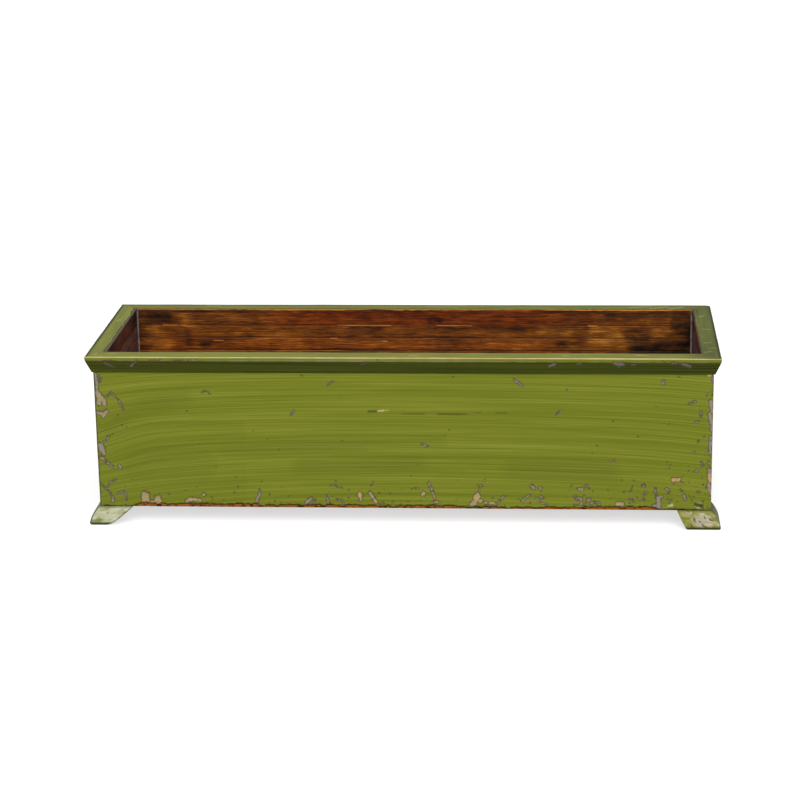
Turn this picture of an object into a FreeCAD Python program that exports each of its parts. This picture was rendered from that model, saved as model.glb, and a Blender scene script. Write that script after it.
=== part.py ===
"""Wooden planter box with a mitred rim frame, a slatted bottom and splayed bracket feet.

Lengths are millimetres. X runs along the box, the front looks along -Y and Z is up.
The origin lies on the floor under the middle of the box.
"""

import FreeCAD, Part
import math
import os

from FreeCAD import Placement, Rotation, Vector

# Box walls: panels of narrow staves, glued edge to edge
box_length = 894.0
box_depth = 285.0
wall_height = 205.5
wall_thickness = 18.0
stave_width = 18.7
seam_width = 1.2
seam_depth = 0.6

# Rim: a moulding mitred round the wall tops, its inner face flush with the walls
rim_height = 25.5
rim_overhang = 10.0
rim_lip = 5.5
rim_soffit = 2.0

# Feet: two flared brackets mitred at each corner, with a glue block in the angle
foot_height = 25.5
foot_flare = 14.0
foot_length = 49.0
foot_thickness = 18.0
foot_toe_radius = 4.0
left_foot_rake = 33.0
right_foot_rake = 14.0
return_rake = 14.0
left_foot_shoulder = 3.5
right_foot_shoulder = 1.0
foot_block_width = 18.0
foot_block_height = 13.0
flare_belly_out_share = 0.68
flare_belly_up_share = 0.5

# Bottom: slats across two cleats, with gaps that let the water out
cleat_width = 20.0
cleat_height = 20.0
slat_thickness = 12.0
slat_end_clearance = 1.0
slat_count = 9
drain_gap = 6.0

# Sealant bead in each inner corner
bead_leg = 3.0
bead_stop = 2.0

# Nails: flat heads, driven below the surface on the painted faces
nail_shank = 2.8
nail_head = 5.0
nail_head_height = 1.0
nail_point = 4.0
nail_set = 1.5
corner_nail_length = 50.0
corner_nail_margin = 14.0
corner_nail_count = 4
rim_nail_length = 55.0
long_rim_nail_count = 6
end_rim_nail_count = 2

# Brads: thinner nails for the slats and the mitres of the feet
brad_shank = 2.0
brad_head = 3.2
brad_head_height = 0.8
brad_point = 2.5
brad_set = 0.8
slat_brad_length = 26.0
slat_brad_spacing = 44.0
foot_brad_length = 30.0
foot_brad_inset = 12.0
foot_brad_drop = 7.0

# Screws: countersunk heads
screw_shank = 4.0
screw_head = 8.0
screw_head_height = 2.8
screw_point = 5.0
cleat_screw_length = 32.0
foot_screw_length = 28.0

# Slack round a fastener in its hole, and how far a cut runs past the face that it opens
hole_clearance = 0.05
overrun = 5.0

# Sizes that follow from the ones above
inner_length = box_length - 2 * wall_thickness
inner_depth = box_depth - 2 * wall_thickness
wall_top = foot_height + wall_height
rim_top = wall_top + rim_height
rim_width = wall_thickness + rim_overhang
cleat_top = foot_height + cleat_height
slat_top = cleat_top + slat_thickness
slat_width = (inner_length - (slat_count + 1) * drain_gap) / slat_count
slat_pitch = slat_width + drain_gap
seam_count = math.ceil(wall_height / stave_width) - 1
rim_nail_reach = rim_top - nail_set - rim_nail_length

origin = Vector(0, 0, 0)
along = Vector(1, 0, 0)
across = Vector(0, 1, 0)
up = Vector(0, 0, 1)

corners = {
    "front_left": (-1, -1),
    "front_right": (1, -1),
    "back_left": (-1, 1),
    "back_right": (1, 1),
}


def spaced(count, low, high):
    """Middles of equal bays between two limits."""
    bay = (high - low) / count
    return [low + bay * (index + 1 / 2) for index in range(count)]


def block(low, high):
    """Rectangular solid between two opposite corners."""
    size = high - low
    return Part.makeBox(size.x, size.y, size.z, low)


def prism(points, sweep):
    """Solid swept from a flat outline with straight sides."""
    return Part.Face(Part.makePolygon(points + points[:1])).extrude(sweep)


def at_corner(shape, side_x, side_y):
    """Carry a shape from its own corner frame, x and y inwards from the box edge, to a corner."""
    placed = shape.translated(Vector(-box_length / 2, -box_depth / 2, 0))
    if side_x > 0:
        placed = placed.mirror(origin, along)
    if side_y > 0:
        placed = placed.mirror(origin, across)
    return placed


def turned(profile, place):
    """Solid of revolution from (radius, height) points, set at a placement."""
    outline = [Vector(radius, 0, height) for radius, height in profile]
    solid = Part.Face(Part.makePolygon(outline + outline[:1])).revolve(origin, up, 360)
    return solid.transformed(place.toMatrix())


def driven(position, direction):
    """Placement of a fastener with its head at a position and its point along a direction."""
    return Placement(position, Rotation(-up, direction))


def flat_headed(shank, head, head_height, point, length, place, slack=0, mouth=0):
    """Nail with a flat head, or with slack and a mouth the hole that it fills."""
    inner = shank / 2 + slack
    outer = head / 2 + slack
    shoulder = -head_height - slack
    profile = [(0, mouth), (outer, mouth), (outer, shoulder), (inner, shoulder)]
    profile += [(inner, point - length), (0, -length - slack)]
    return turned(profile, place)


def nail(length, place, **hole):
    """Long nail of the corners and the rim."""
    return flat_headed(nail_shank, nail_head, nail_head_height, nail_point, length, place, **hole)


def brad(length, place, **hole):
    """Thin nail of the slats and the feet."""
    return flat_headed(brad_shank, brad_head, brad_head_height, brad_point, length, place, **hole)


def screw(length, place, slack=0, mouth=0):
    """Countersunk screw, or with slack and a mouth the hole that it fills."""
    inner = screw_shank / 2 + slack
    outer = screw_head / 2 + slack
    head = [(0, mouth), (outer, mouth), (outer, 0)] if mouth else [(0, 0), (outer, 0)]
    shank = [(inner, -screw_head_height), (inner, screw_point - length), (0, -length - slack)]
    return turned(head + shank, place)


def corner_nail_places():
    """Through the long walls into the edges of the end walls, clear of the rim nails above."""
    low = foot_height + corner_nail_margin
    high = rim_nail_reach - corner_nail_margin
    places = []
    for side_x, side_y in corners.values():
        x = side_x * (box_length - wall_thickness) / 2
        y = side_y * (box_depth / 2 - nail_set)
        for z in spaced(corner_nail_count, low, high):
            places.append(driven(Vector(x, y, z), Vector(0, -side_y, 0)))
    return places


def rim_nail_places():
    """Down through the rim into the middle of the wall tops."""
    z = rim_top - nail_set
    spots = []
    for side in (-1, 1):
        y = side * (box_depth - wall_thickness) / 2
        x = side * (box_length - wall_thickness) / 2
        for place in spaced(long_rim_nail_count, -box_length / 2, box_length / 2):
            spots.append(Vector(place, y, z))
        for place in spaced(end_rim_nail_count, -box_depth / 2, box_depth / 2):
            spots.append(Vector(x, place, z))
    return [driven(spot, -up) for spot in spots]


def slat_middles():
    """Middle of each bottom slat along the box."""
    first = -inner_length / 2 + drain_gap + slat_width / 2
    return [first + slat_pitch * index for index in range(slat_count)]


def slat_brad_places():
    """Two brads at each end of each slat, into the cleat below."""
    places = []
    for middle in slat_middles():
        for side_x, side_y in corners.values():
            x = middle + side_x * slat_brad_spacing / 2
            y = side_y * (inner_depth - cleat_width) / 2
            places.append(driven(Vector(x, y, slat_top), -up))
    return places


def cleat_screw_places():
    """Through the cleats into the long walls, under the gaps between slats."""
    z = foot_height + cleat_height / 2
    places = []
    for side_y in (-1, 1):
        y = side_y * (inner_depth / 2 - cleat_width)
        for middle in slat_middles()[1:]:
            x = middle - slat_pitch / 2
            places.append(driven(Vector(x, y, z), Vector(0, side_y, 0)))
    return places


def foot_screw_places():
    """Up through the glue blocks into the ends of the cleats."""
    inset = foot_thickness + foot_block_width / 2
    places = []
    for side_x, side_y in corners.values():
        x = side_x * (box_length / 2 - inset)
        y = side_y * (box_depth / 2 - inset)
        places.append(driven(Vector(x, y, foot_height - foot_block_height), up))
    return places


def foot_brad_places():
    """Through each front or back bracket, across the mitre, into its return."""
    z = foot_height - foot_brad_drop
    level = Part.makeLine(Vector(0, -foot_flare, z), Vector(0, 0, z))
    places = []
    for side_x, side_y in corners.values():
        face = flared_edge(0, foot_shoulder(side_x)).toShape().distToShape(level)[1][0][0].y
        x = side_x * (box_length / 2 - foot_brad_inset)
        y = side_y * (box_depth / 2 - face - brad_set)
        places.append(driven(Vector(x, y, z), Vector(0, -side_y, 0)))
    return places


def holes(fastener, length, places):
    """Holes that one group of fasteners needs in the pieces that it joins."""
    return [fastener(length, place, slack=hole_clearance, mouth=overrun) for place in places]


def seams(start, outwards, run):
    """Shallow V grooves along the glued seams of a wall's inner face, counted down from its top."""
    half = up * (seam_width / 2)
    root = outwards * seam_depth
    grooves = []
    for index in range(seam_count):
        level = start + up * (wall_top - stave_width * (index + 1))
        grooves.append(prism([level - half, level + half, level + root], run))
    return grooves


def long_wall(side_y, fastener_holes):
    """Front or back wall, the full length of the box."""
    near, far = sorted((side_y * box_depth / 2, side_y * inner_depth / 2))
    low = Vector(-box_length / 2, near, foot_height)
    high = Vector(box_length / 2, far, wall_top)
    start = Vector(-inner_length / 2, side_y * inner_depth / 2, 0)
    grooves = seams(start, across * side_y, along * inner_length)
    return block(low, high).cut(grooves + fastener_holes)


def end_wall(side_x, fastener_holes):
    """End wall, fitted between the front and back walls."""
    left, right = sorted((side_x * box_length / 2, side_x * inner_length / 2))
    low = Vector(left, -inner_depth / 2, foot_height)
    high = Vector(right, inner_depth / 2, wall_top)
    start = Vector(side_x * inner_length / 2, -inner_depth / 2, 0)
    grooves = seams(start, along * side_x, across * inner_depth)
    return block(low, high).cut(grooves + fastener_holes)


def rim_length(half_length, half_depth, turn, fastener_holes):
    """One side of the rim, mitred at both ends, for the given half sizes of the opening."""
    reach = half_length + rim_width
    near = -half_depth
    far = -half_depth - rim_width
    section = [
        Vector(-reach, near, wall_top),
        Vector(-reach, near - wall_thickness - rim_soffit, wall_top),
        Vector(-reach, far, rim_top - rim_lip),
        Vector(-reach, far, rim_top),
        Vector(-reach, near, rim_top),
    ]
    plan = [
        Vector(-half_length, near, wall_top),
        Vector(half_length, near, wall_top),
        Vector(reach, far, wall_top),
        Vector(-reach, far, wall_top),
    ]
    moulding = prism(section, along * (2 * reach)).common(prism(plan, up * rim_height))
    return moulding.rotated(origin, up, turn).cut(fastener_holes)


def foot_shoulder(side_x):
    """How far the feet at one end of the box stand out from the walls at their tops."""
    return left_foot_shoulder if side_x < 0 else right_foot_shoulder


def flared_edge(x, shoulder):
    """Curve of a bracket's outer face, from its shoulder down to the toe."""
    rise = foot_height - foot_toe_radius
    run = foot_flare - shoulder
    top = Vector(x, -shoulder, foot_height)
    belly_z = foot_toe_radius + rise * flare_belly_up_share
    belly = Vector(x, -shoulder - run * flare_belly_out_share, belly_z)
    toe = Vector(x, -foot_flare, foot_toe_radius)
    return Part.Arc(top, belly, toe)


def bracket_section(x, shoulder):
    """Upright section of a bracket: flared outside, rounded toe, flat sole, back and top."""
    centre = Vector(x, foot_toe_radius - foot_flare, foot_toe_radius)
    slant = Vector(0, -math.sqrt(1 / 2), -math.sqrt(1 / 2))
    toe = Vector(x, -foot_flare, foot_toe_radius)
    sole = Vector(x, foot_toe_radius - foot_flare, 0)
    heel = Vector(x, foot_thickness, 0)
    back = Vector(x, foot_thickness, foot_height)
    top = Vector(x, -shoulder, foot_height)
    edges = [
        flared_edge(x, shoulder).toShape(),
        Part.Arc(toe, centre + slant * foot_toe_radius, sole).toShape(),
        Part.makeLine(sole, heel),
        Part.makeLine(heel, back),
        Part.makeLine(back, top),
    ]
    return Part.Face(Part.Wire(edges))


def bracket(rake, shoulder):
    """Bracket along the front or back, in its corner frame: mitred outside, raked inside."""
    body = bracket_section(-foot_flare, shoulder).extrude(along * (foot_length + foot_flare))
    outside = -foot_flare - overrun
    inside = foot_thickness + overrun
    mitre = prism(
        [
            Vector(outside, outside, -overrun),
            Vector(inside, inside, -overrun),
            Vector(outside, inside, -overrun),
        ],
        up * (foot_height + 2 * overrun),
    )
    rake_end = foot_length - rake
    raked = prism(
        [
            Vector(foot_length, outside, foot_height),
            Vector(rake_end, outside, 0),
            Vector(rake_end, outside, -overrun),
            Vector(foot_length + overrun, outside, -overrun),
            Vector(foot_length + overrun, outside, foot_height),
        ],
        across * (inside - outside),
    )
    return body.cut([mitre, raked])


def foot_nodes(name, side_x, side_y, brad_holes, screw_holes):
    """The two brackets and the glue block of one foot."""
    rake = left_foot_rake if side_x < 0 else right_foot_rake
    shoulder = foot_shoulder(side_x)
    face = at_corner(bracket(rake, shoulder), side_x, side_y)
    turned_round = bracket(return_rake, shoulder).mirror(origin, along - across)
    side = at_corner(turned_round, side_x, side_y)
    low = Vector(foot_thickness, foot_thickness, foot_height - foot_block_height)
    high = low + Vector(foot_block_width, foot_block_width, foot_block_height)
    inner = at_corner(block(low, high), side_x, side_y)
    return {
        name + "_foot_face": face.cut(brad_holes),
        name + "_foot_return": side.cut(brad_holes),
        name + "_foot_block": inner.cut(screw_holes),
    }


def cleat(side_y, fastener_holes):
    """Batten along the foot of a long wall, from end wall to end wall."""
    near, far = sorted((side_y * inner_depth / 2, side_y * (inner_depth / 2 - cleat_width)))
    low = Vector(-inner_length / 2, near, foot_height)
    high = Vector(inner_length / 2, far, cleat_top)
    return block(low, high).cut(fastener_holes)


def slat(middle, brad_holes):
    """Bottom slat, laid across the two cleats."""
    half = Vector(slat_width / 2, inner_depth / 2 - slat_end_clearance, 0)
    low = Vector(middle, 0, cleat_top) - half
    high = Vector(middle, 0, slat_top) + half
    return block(low, high).cut(brad_holes)


def corner_bead(side_x, side_y):
    """Triangular bead of sealant up an inner corner, from the slats to just under the rim top."""
    corner = Vector(wall_thickness, wall_thickness, slat_top)
    outline = [corner, corner + along * bead_leg, corner + across * bead_leg]
    return at_corner(prism(outline, up * (rim_top - bead_stop - slat_top)), side_x, side_y)


def planter():
    """Every piece of the planter, by name."""
    corner_places = corner_nail_places()
    rim_places = rim_nail_places()
    slat_places = slat_brad_places()
    cleat_places = cleat_screw_places()
    foot_places = foot_screw_places()
    mitre_places = foot_brad_places()

    corner_holes = holes(nail, corner_nail_length, corner_places)
    rim_holes = holes(nail, rim_nail_length, rim_places)
    slat_holes = holes(brad, slat_brad_length, slat_places)
    cleat_holes = holes(screw, cleat_screw_length, cleat_places)
    foot_holes = holes(screw, foot_screw_length, foot_places)
    mitre_holes = holes(brad, foot_brad_length, mitre_places)

    nodes = {
        "front_wall": long_wall(-1, corner_holes + rim_holes + cleat_holes),
        "back_wall": long_wall(1, corner_holes + rim_holes + cleat_holes),
        "left_end_wall": end_wall(-1, corner_holes + rim_holes),
        "right_end_wall": end_wall(1, corner_holes + rim_holes),
        "rim_front": rim_length(inner_length / 2, inner_depth / 2, 0, rim_holes),
        "rim_right": rim_length(inner_depth / 2, inner_length / 2, 90, rim_holes),
        "rim_back": rim_length(inner_length / 2, inner_depth / 2, 180, rim_holes),
        "rim_left": rim_length(inner_depth / 2, inner_length / 2, 270, rim_holes),
        "cleat_front": cleat(-1, cleat_holes + slat_holes + foot_holes),
        "cleat_back": cleat(1, cleat_holes + slat_holes + foot_holes),
    }
    for index, middle in enumerate(slat_middles(), start=1):
        nodes[f"bottom_slat_{index}"] = slat(middle, slat_holes)
    for name, (side_x, side_y) in corners.items():
        nodes.update(foot_nodes(name, side_x, side_y, mitre_holes, foot_holes))

    groups = {
        "corner_nails": [nail(corner_nail_length, place) for place in corner_places],
        "rim_nails": [nail(rim_nail_length, place) for place in rim_places],
        "slat_brads": [brad(slat_brad_length, place) for place in slat_places],
        "foot_brads": [brad(foot_brad_length, place) for place in mitre_places],
        "cleat_screws": [screw(cleat_screw_length, place) for place in cleat_places],
        "foot_screws": [screw(foot_screw_length, place) for place in foot_places],
        "corner_beads": [corner_bead(side_x, side_y) for side_x, side_y in corners.values()],
    }
    nodes.update({name: Part.makeCompound(solids) for name, solids in groups.items()})
    return nodes


os.makedirs("parts", exist_ok=True)
for node_name, shape in planter().items():
    shape.exportStep(f"parts/{node_name}.step")
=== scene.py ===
"""Worn green planter box: the looks of its walls, rim, feet, bottom and fasteners.

Lengths are millimetres until a mesh is written, which is in metres. Each side of the box has its
own frame: s runs along it from left to right as seen from outside, o points outwards from the
middle of the box and z is up from the floor.
"""

import itertools
import logging
import math
from collections.abc import Sequence
from dataclasses import dataclass, field
from enum import Enum, IntEnum

import bpy
import numpy as np
from bpy.types import Material, Mesh, NodeSocket, NodeTree, Object
from mathutils import Matrix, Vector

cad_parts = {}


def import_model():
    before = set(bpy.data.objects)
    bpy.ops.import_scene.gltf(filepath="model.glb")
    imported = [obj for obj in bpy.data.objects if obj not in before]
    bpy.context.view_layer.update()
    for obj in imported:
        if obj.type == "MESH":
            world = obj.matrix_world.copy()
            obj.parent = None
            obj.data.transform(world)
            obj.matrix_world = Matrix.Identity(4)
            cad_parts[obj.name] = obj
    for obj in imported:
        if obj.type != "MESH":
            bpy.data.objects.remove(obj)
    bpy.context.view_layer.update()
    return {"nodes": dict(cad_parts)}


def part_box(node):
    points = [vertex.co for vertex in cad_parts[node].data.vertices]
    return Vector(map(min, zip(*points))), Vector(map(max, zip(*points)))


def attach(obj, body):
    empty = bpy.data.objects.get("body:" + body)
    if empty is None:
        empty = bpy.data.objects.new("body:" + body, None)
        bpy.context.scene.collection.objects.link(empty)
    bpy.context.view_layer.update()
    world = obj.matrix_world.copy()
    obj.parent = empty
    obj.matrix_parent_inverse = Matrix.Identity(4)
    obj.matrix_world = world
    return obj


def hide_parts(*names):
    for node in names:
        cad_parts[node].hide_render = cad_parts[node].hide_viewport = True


log = logging.getLogger("planter")

MM = 0.001
BODY = "root"
# Depth of a place far from any mark, and how far a soft edge and a chipped one reach
FAR_OUTSIDE = -30.0
SOFT_EDGE = 12.0
CHIP_EDGE = 2.0
# Depth at which stained wood shows no worn place, and the tone of paint that is rubbed to cream
NOT_WORN = -2.0
CREAM_TONE = 0.92
# Shift to a place where the noise has other values
UNLIKE = 60.0
# Distance that counts as touching
TOUCHING = 0.01
# Steps from an arris, close enough together to round it
EDGE_STEPS = (0.0, 0.45, 0.9, 1.5, 2.6)

Feed = NodeSocket | float | tuple[float, ...]
Pairs = tuple[tuple[float, float], ...]
Shares = tuple[tuple[str, float], ...]
Noises = tuple[tuple[str, float, float], ...]
Triple = tuple[float, float, float]


def linear(code: str) -> tuple[float, float, float, float]:
    """Turn an sRGB hex colour into linear light.

    Args:
        code: A hash sign and six hex digits.

    Returns:
        Linear red, green and blue, and a full alpha.
    """
    shares = [int(code[start : start + 2], 16) / 255 for start in (1, 3, 5)]
    red, green, blue = (c / 12.92 if c <= 0.04045 else ((c + 0.055) / 1.055) ** 2.4 for c in shares)
    return red, green, blue, 1.0


def add(
    tree: NodeTree, kind: str, feeds: dict[str | int, Feed], out: int = 0, **settings: object
) -> NodeSocket | None:
    """Add a shader node with its settings and links.

    Args:
        tree: The node tree that takes the node.
        kind: The node's type, without its ShaderNode prefix.
        feeds: What each input socket gets: a socket to link, or a value.
        out: Which of the node's outputs is wanted.
        settings: Node properties by name. Stops are the (position, hex colour) pairs of a ramp.

    Returns:
        The wanted output socket, or None for a node that has none.
    """
    node = tree.nodes.new("ShaderNode" + kind)
    for index, (position, code) in enumerate(settings.pop("stops", ())):
        ramp = node.color_ramp.elements
        if index == 0:
            ramp.remove(ramp[1])
        element = ramp.new(position) if index else ramp[0]
        element.position = position
        element.color = linear(code)
    for name, value in settings.items():
        setattr(node, name, value)
    for key, feed in feeds.items():
        if isinstance(feed, NodeSocket):
            tree.links.new(feed, node.inputs[key])
        else:
            node.inputs[key].default_value = feed
    return node.outputs[out] if len(node.outputs) else None


def times(tree: NodeTree, first: Feed, second: Feed, plus: Feed = 0.0, clamp: bool = False) -> NodeSocket:
    """Multiply two shader values and add a third."""
    feeds = {0: first, 1: second, 2: plus}
    return add(tree, "Math", feeds, operation="MULTIPLY_ADD", use_clamp=clamp)


def mix(tree: NodeTree, share: Feed, under: Feed, over: Feed | str) -> NodeSocket:
    """Lay a colour, which may be a hex code, over another by a share."""
    over = linear(over) if isinstance(over, str) else over
    return add(tree, "MixRGB", {"Fac": share, "Color1": under, "Color2": over})


def new_material(name: str) -> Material:
    """Make an empty node material.

    Args:
        name: The real material, and how its surface was made.

    Returns:
        The material, with no nodes yet.
    """
    material = bpy.data.materials.new(name)
    material.use_nodes = True
    material.node_tree.nodes.clear()
    return material


class Wander:
    """Smooth seeded noise from -1 to 1 on a repeating lattice of random values."""

    CELLS = 32

    def __init__(self, seed: int) -> None:
        """Draw the lattice for one seed."""
        self.values = np.random.default_rng(seed).uniform(-1, 1, (self.CELLS,) * 3)

    def __call__(self, places: np.ndarray, period: float | Sequence[float]) -> np.ndarray:
        """Read the noise at places in mm.

        Args:
            places: Points, one per row.
            period: Distance between lattice values, one for all directions or one each.

        Returns:
            One value per point.
        """
        cell = places / np.asarray(period, float)
        base = np.floor(cell).astype(int)
        part = cell - base
        part = part * part * (3 - 2 * part)
        total = np.zeros(len(places))
        for corner in itertools.product((0, 1), repeat=3):
            weight = np.prod(np.where(corner, part, 1 - part), axis=1)
            i, j, k = ((base + corner) % self.CELLS).T
            total += weight * self.values[i, j, k]
        return total


def ease(value: np.ndarray, low: float, high: float) -> np.ndarray:
    """Go smoothly from 0 at low to 1 at high, which may be the smaller of the two."""
    share = np.clip((value - low) / (high - low), 0, 1)
    return share * share * (3 - 2 * share)


@dataclass(frozen=True)
class Onset:
    """Full strength of an effect, and the values at which it starts and is complete."""

    share: float
    start: float
    full: float

    def at(self, distance: np.ndarray) -> np.ndarray:
        """Strength at each distance."""
        return self.share * ease(distance, self.start, self.full)

    def node(self, tree: NodeTree, value: NodeSocket) -> NodeSocket:
        """Strength at a value in a finish, which grows evenly between the two."""
        feeds = {"Value": value, "From Min": self.start, "From Max": self.full, "To Max": self.share}
        return add(tree, "MapRange", feeds)


@dataclass(frozen=True)
class Uneven:
    """A mean, and how far broad patches and fine ones take it up and down."""

    mean: float
    broad: float
    narrow: float

    def over(self, patch: np.ndarray, fine: np.ndarray) -> np.ndarray:
        """Value at each place, from the noise of its patches."""
        return self.mean + self.broad * patch + self.narrow * fine


def waver(places: np.ndarray, noise: Wander, pulls: Pairs) -> np.ndarray:
    """Sum of noises, each given by how far it pulls and by its size."""
    return sum(pull * noise(places, size) for pull, size in pulls)


@dataclass(frozen=True)
class Mark:
    """Spot, vein or stroke on a face: its width and the places that it joins."""

    width: float
    places: Pairs

    def depth(self, u: np.ndarray, v: np.ndarray) -> np.ndarray:
        """Distance inside the mark's edge, negative outside it.

        Args:
            u: Places along the face.
            v: Places up the face.

        Returns:
            One distance per place.
        """
        ends = self.places[1:] or self.places
        nearest = np.full(len(u), -FAR_OUTSIDE)
        for (u0, v0), (u1, v1) in zip(self.places, ends):
            run, rise = u1 - u0, v1 - v0
            share = ((u - u0) * run + (v - v0) * rise) / max(run * run + rise * rise, 1e-9)
            share = np.clip(share, 0, 1)
            nearest = np.minimum(nearest, np.hypot(u - u0 - share * run, v - v0 - share * rise))
        return self.width / 2 - nearest


def mark(width: float, *places: tuple[float, float]) -> Mark:
    """Mark of a width along a line of places."""
    return Mark(width, places)


def deepest(marks: Sequence[Mark], u: np.ndarray, v: np.ndarray) -> np.ndarray:
    """Distance inside the nearest of several marks.

    Args:
        marks: The marks.
        u: Places along the face.
        v: Places up the face.

    Returns:
        One distance per place, negative outside the marks.
    """
    depth = np.full(len(u), FAR_OUTSIDE)
    for spot in marks:
        (u_low, v_low), (u_high, v_high) = np.min(spot.places, 0), np.max(spot.places, 0)
        margin = spot.width + SOFT_EDGE
        near = (u > u_low - margin) & (u < u_high + margin) & (v > v_low - margin) & (v < v_high + margin)
        depth[near] = np.maximum(depth[near], spot.depth(u[near], v[near]))
    return depth


def torn(flat: np.ndarray, noise: Wander, pulls: Pairs) -> tuple[np.ndarray, np.ndarray]:
    """Offsets along a face and up it, which make the edges of marks ragged."""
    return waver(flat, noise, pulls), waver(flat + UNLIKE, noise, pulls)


class Side(Enum):
    """A side of the box, by its outward direction and the direction of its length in plan."""

    FRONT = ((0, -1), (1, 0))
    RIGHT = ((1, 0), (0, 1))
    BACK = ((0, 1), (-1, 0))
    LEFT = ((-1, 0), (0, -1))

    def __init__(self, outward: tuple[int, int], along: tuple[int, int]) -> None:
        """Keep the two directions as arrays."""
        self.outward = np.array(outward, float)
        self.along = np.array(along, float)

    @property
    def is_long(self) -> bool:
        """Whether this is the front or the back."""
        return self.along[0] != 0

    def place(self, s: np.ndarray, o: np.ndarray, z: np.ndarray) -> np.ndarray:
        """Points of the planter for places in this side's frame."""
        return np.column_stack([np.outer(s, self.along) + np.outer(o, self.outward), z])


# Marks on the front wall, in mm from its lower left corner: flakes, by where they are and what they bare
LEFT_ARRIS_FLAKES = (
    mark(9, (4, 175), (8, 167), (6, 157)), mark(8, (9, 168), (13, 162), (14, 157)),
    mark(3.2, (15, 166), (24, 175), (32, 166), (38, 158), (42, 150)),
    mark(6, (3, 144), (9, 142), (18, 146)), mark(7, (14, 142), (11, 137)), mark(2.6, (33, 140)),
    mark(2.6, (30, 134)), mark(2.4, (6, 123)), mark(3, (24, 111)), mark(2.2, (45, 122)),
    mark(4.6, (1, 76), (12, 70), (21, 61)), mark(4.5, (31, 62), (34, 59)), mark(2.5, (50, 43)),
)
LOWER_FLAKES = (
    mark(14, (68, 17), (68, 8), (67, 3)), mark(10, (86, 14), (87, 6)),
    mark(9, (68, 6), (76, 6), (88, 5)), mark(7.5, (128, 9), (137, 12), (147, 9)),
    mark(6.5, (155, 19)), mark(1.8, (163, 17), (168, 15)), mark(2.4, (127, 25)),
    mark(2.2, (103, 20)), mark(6, (385, 23), (385, 13)), mark(6.5, (399, 24), (404, 16), (408, 10)),
    mark(2.5, (408, 10), (412, 6), (419, 8)), mark(2.8, (400, 36), (404, 41)), mark(2.4, (412, 23)),
    mark(2.6, (428, 23)), mark(2.6, (447, 30)), mark(2, (460, 30), (466, 30)), mark(3.2, (469, 30)),
    mark(9.5, (477, 22)), mark(4.4, (484, 40)),
    mark(3.2, (485, 38), (490, 30), (492, 19), (496, 10)), mark(5, (494, 10), (499, 10)),
    mark(2.6, (432, 9)), mark(2.6, (443, 7)), mark(9, (556, 20), (553, 12), (549, 8)),
    mark(8, (560, 12)), mark(2.2, (557, 24), (561, 36)), mark(3.5, (561, 36)), mark(3.2, (566, 45)),
    mark(2.4, (555, 36)), mark(5, (567, 9), (575, 8), (583, 8)),
    mark(2.6, (583, 9), (590, 15), (597, 21)), mark(3.6, (598, 21)), mark(3, (578, 18)),
    mark(5.5, (702, 31), (707, 31)), mark(9, (760, 9), (765, 9)),
)
LILAC_FLAKES = (
    mark(5, (3, 203), (5, 192), (4, 179)), mark(2.4, (8, 199), (9, 190)),
    mark(3.5, (4, 94), (11, 100), (18, 107)), mark(8.5, (5, 95), (7, 88), (8, 82)),
    mark(3.2, (0, 39), (12, 25), (17, 19), (20, 13)), mark(3, (12, 28), (15, 35), (25, 42)),
    mark(5.5, (20, 12), (18, 7)), mark(3.4, (28, 20), (36, 22), (39, 16), (40, 10)),
    mark(2.6, (202, 46)), mark(2.6, (206, 32)), mark(3, (199, 24)), mark(2.2, (201, 12)),
    mark(5, (204, 4)), mark(4.5, (238, 27), (236, 18), (233, 8)), mark(2.4, (241, 40)),
    mark(2.6, (252, 20)), mark(2.2, (280, 18)), mark(6, (304, 5), (310, 12), (313, 14)),
    mark(3, (314, 5), (318, 12)), mark(4, (335, 17), (337, 11), (340, 5)),
    mark(4, (350, 13), (358, 11), (359, 6)), mark(3, (349, 41)),
    mark(2.2, (342, 35), (350, 33), (358, 32)), mark(4.5, (369, 28)), mark(2.6, (616, 15)),
    mark(4.2, (622, 13), (631, 22)), mark(4, (634, 36), (640, 32)), mark(3, (647, 35), (648, 29)),
    mark(3.4, (649, 21), (652, 17)), mark(4.5, (642, 18), (645, 13)), mark(4, (648, 9), (656, 8)),
    mark(2.8, (633, 10)), mark(3, (707, 32), (713, 36), (718, 33)), mark(2.4, (723, 28)),
    mark(3.5, (697, 21), (704, 16)), mark(5, (707, 17), (708, 8)), mark(2.5, (695, 8), (707, 7)),
    mark(4.5, (715, 14), (719, 16)), mark(3.5, (720, 8), (725, 13), (731, 11), (732, 7)),
    mark(3.5, (777, 18), (780, 17)), mark(3.5, (776, 10), (782, 12)),
    mark(2.2, (777, 29), (781, 36)), mark(2, (767, 26), (771, 30)), mark(6.5, (796, 37)),
    mark(2.2, (797, 26), (803, 28)), mark(2.2, (796, 22), (801, 24)), mark(2.4, (786, 20)),
    mark(2.4, (793, 16), (798, 17)), mark(3, (812, 34), (815, 22)), mark(8, (818, 18), (818, 6)),
    mark(6, (822, 21)), mark(5, (811, 8), (818, 8)), mark(4.5, (830, 34), (834, 29)),
)
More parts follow.
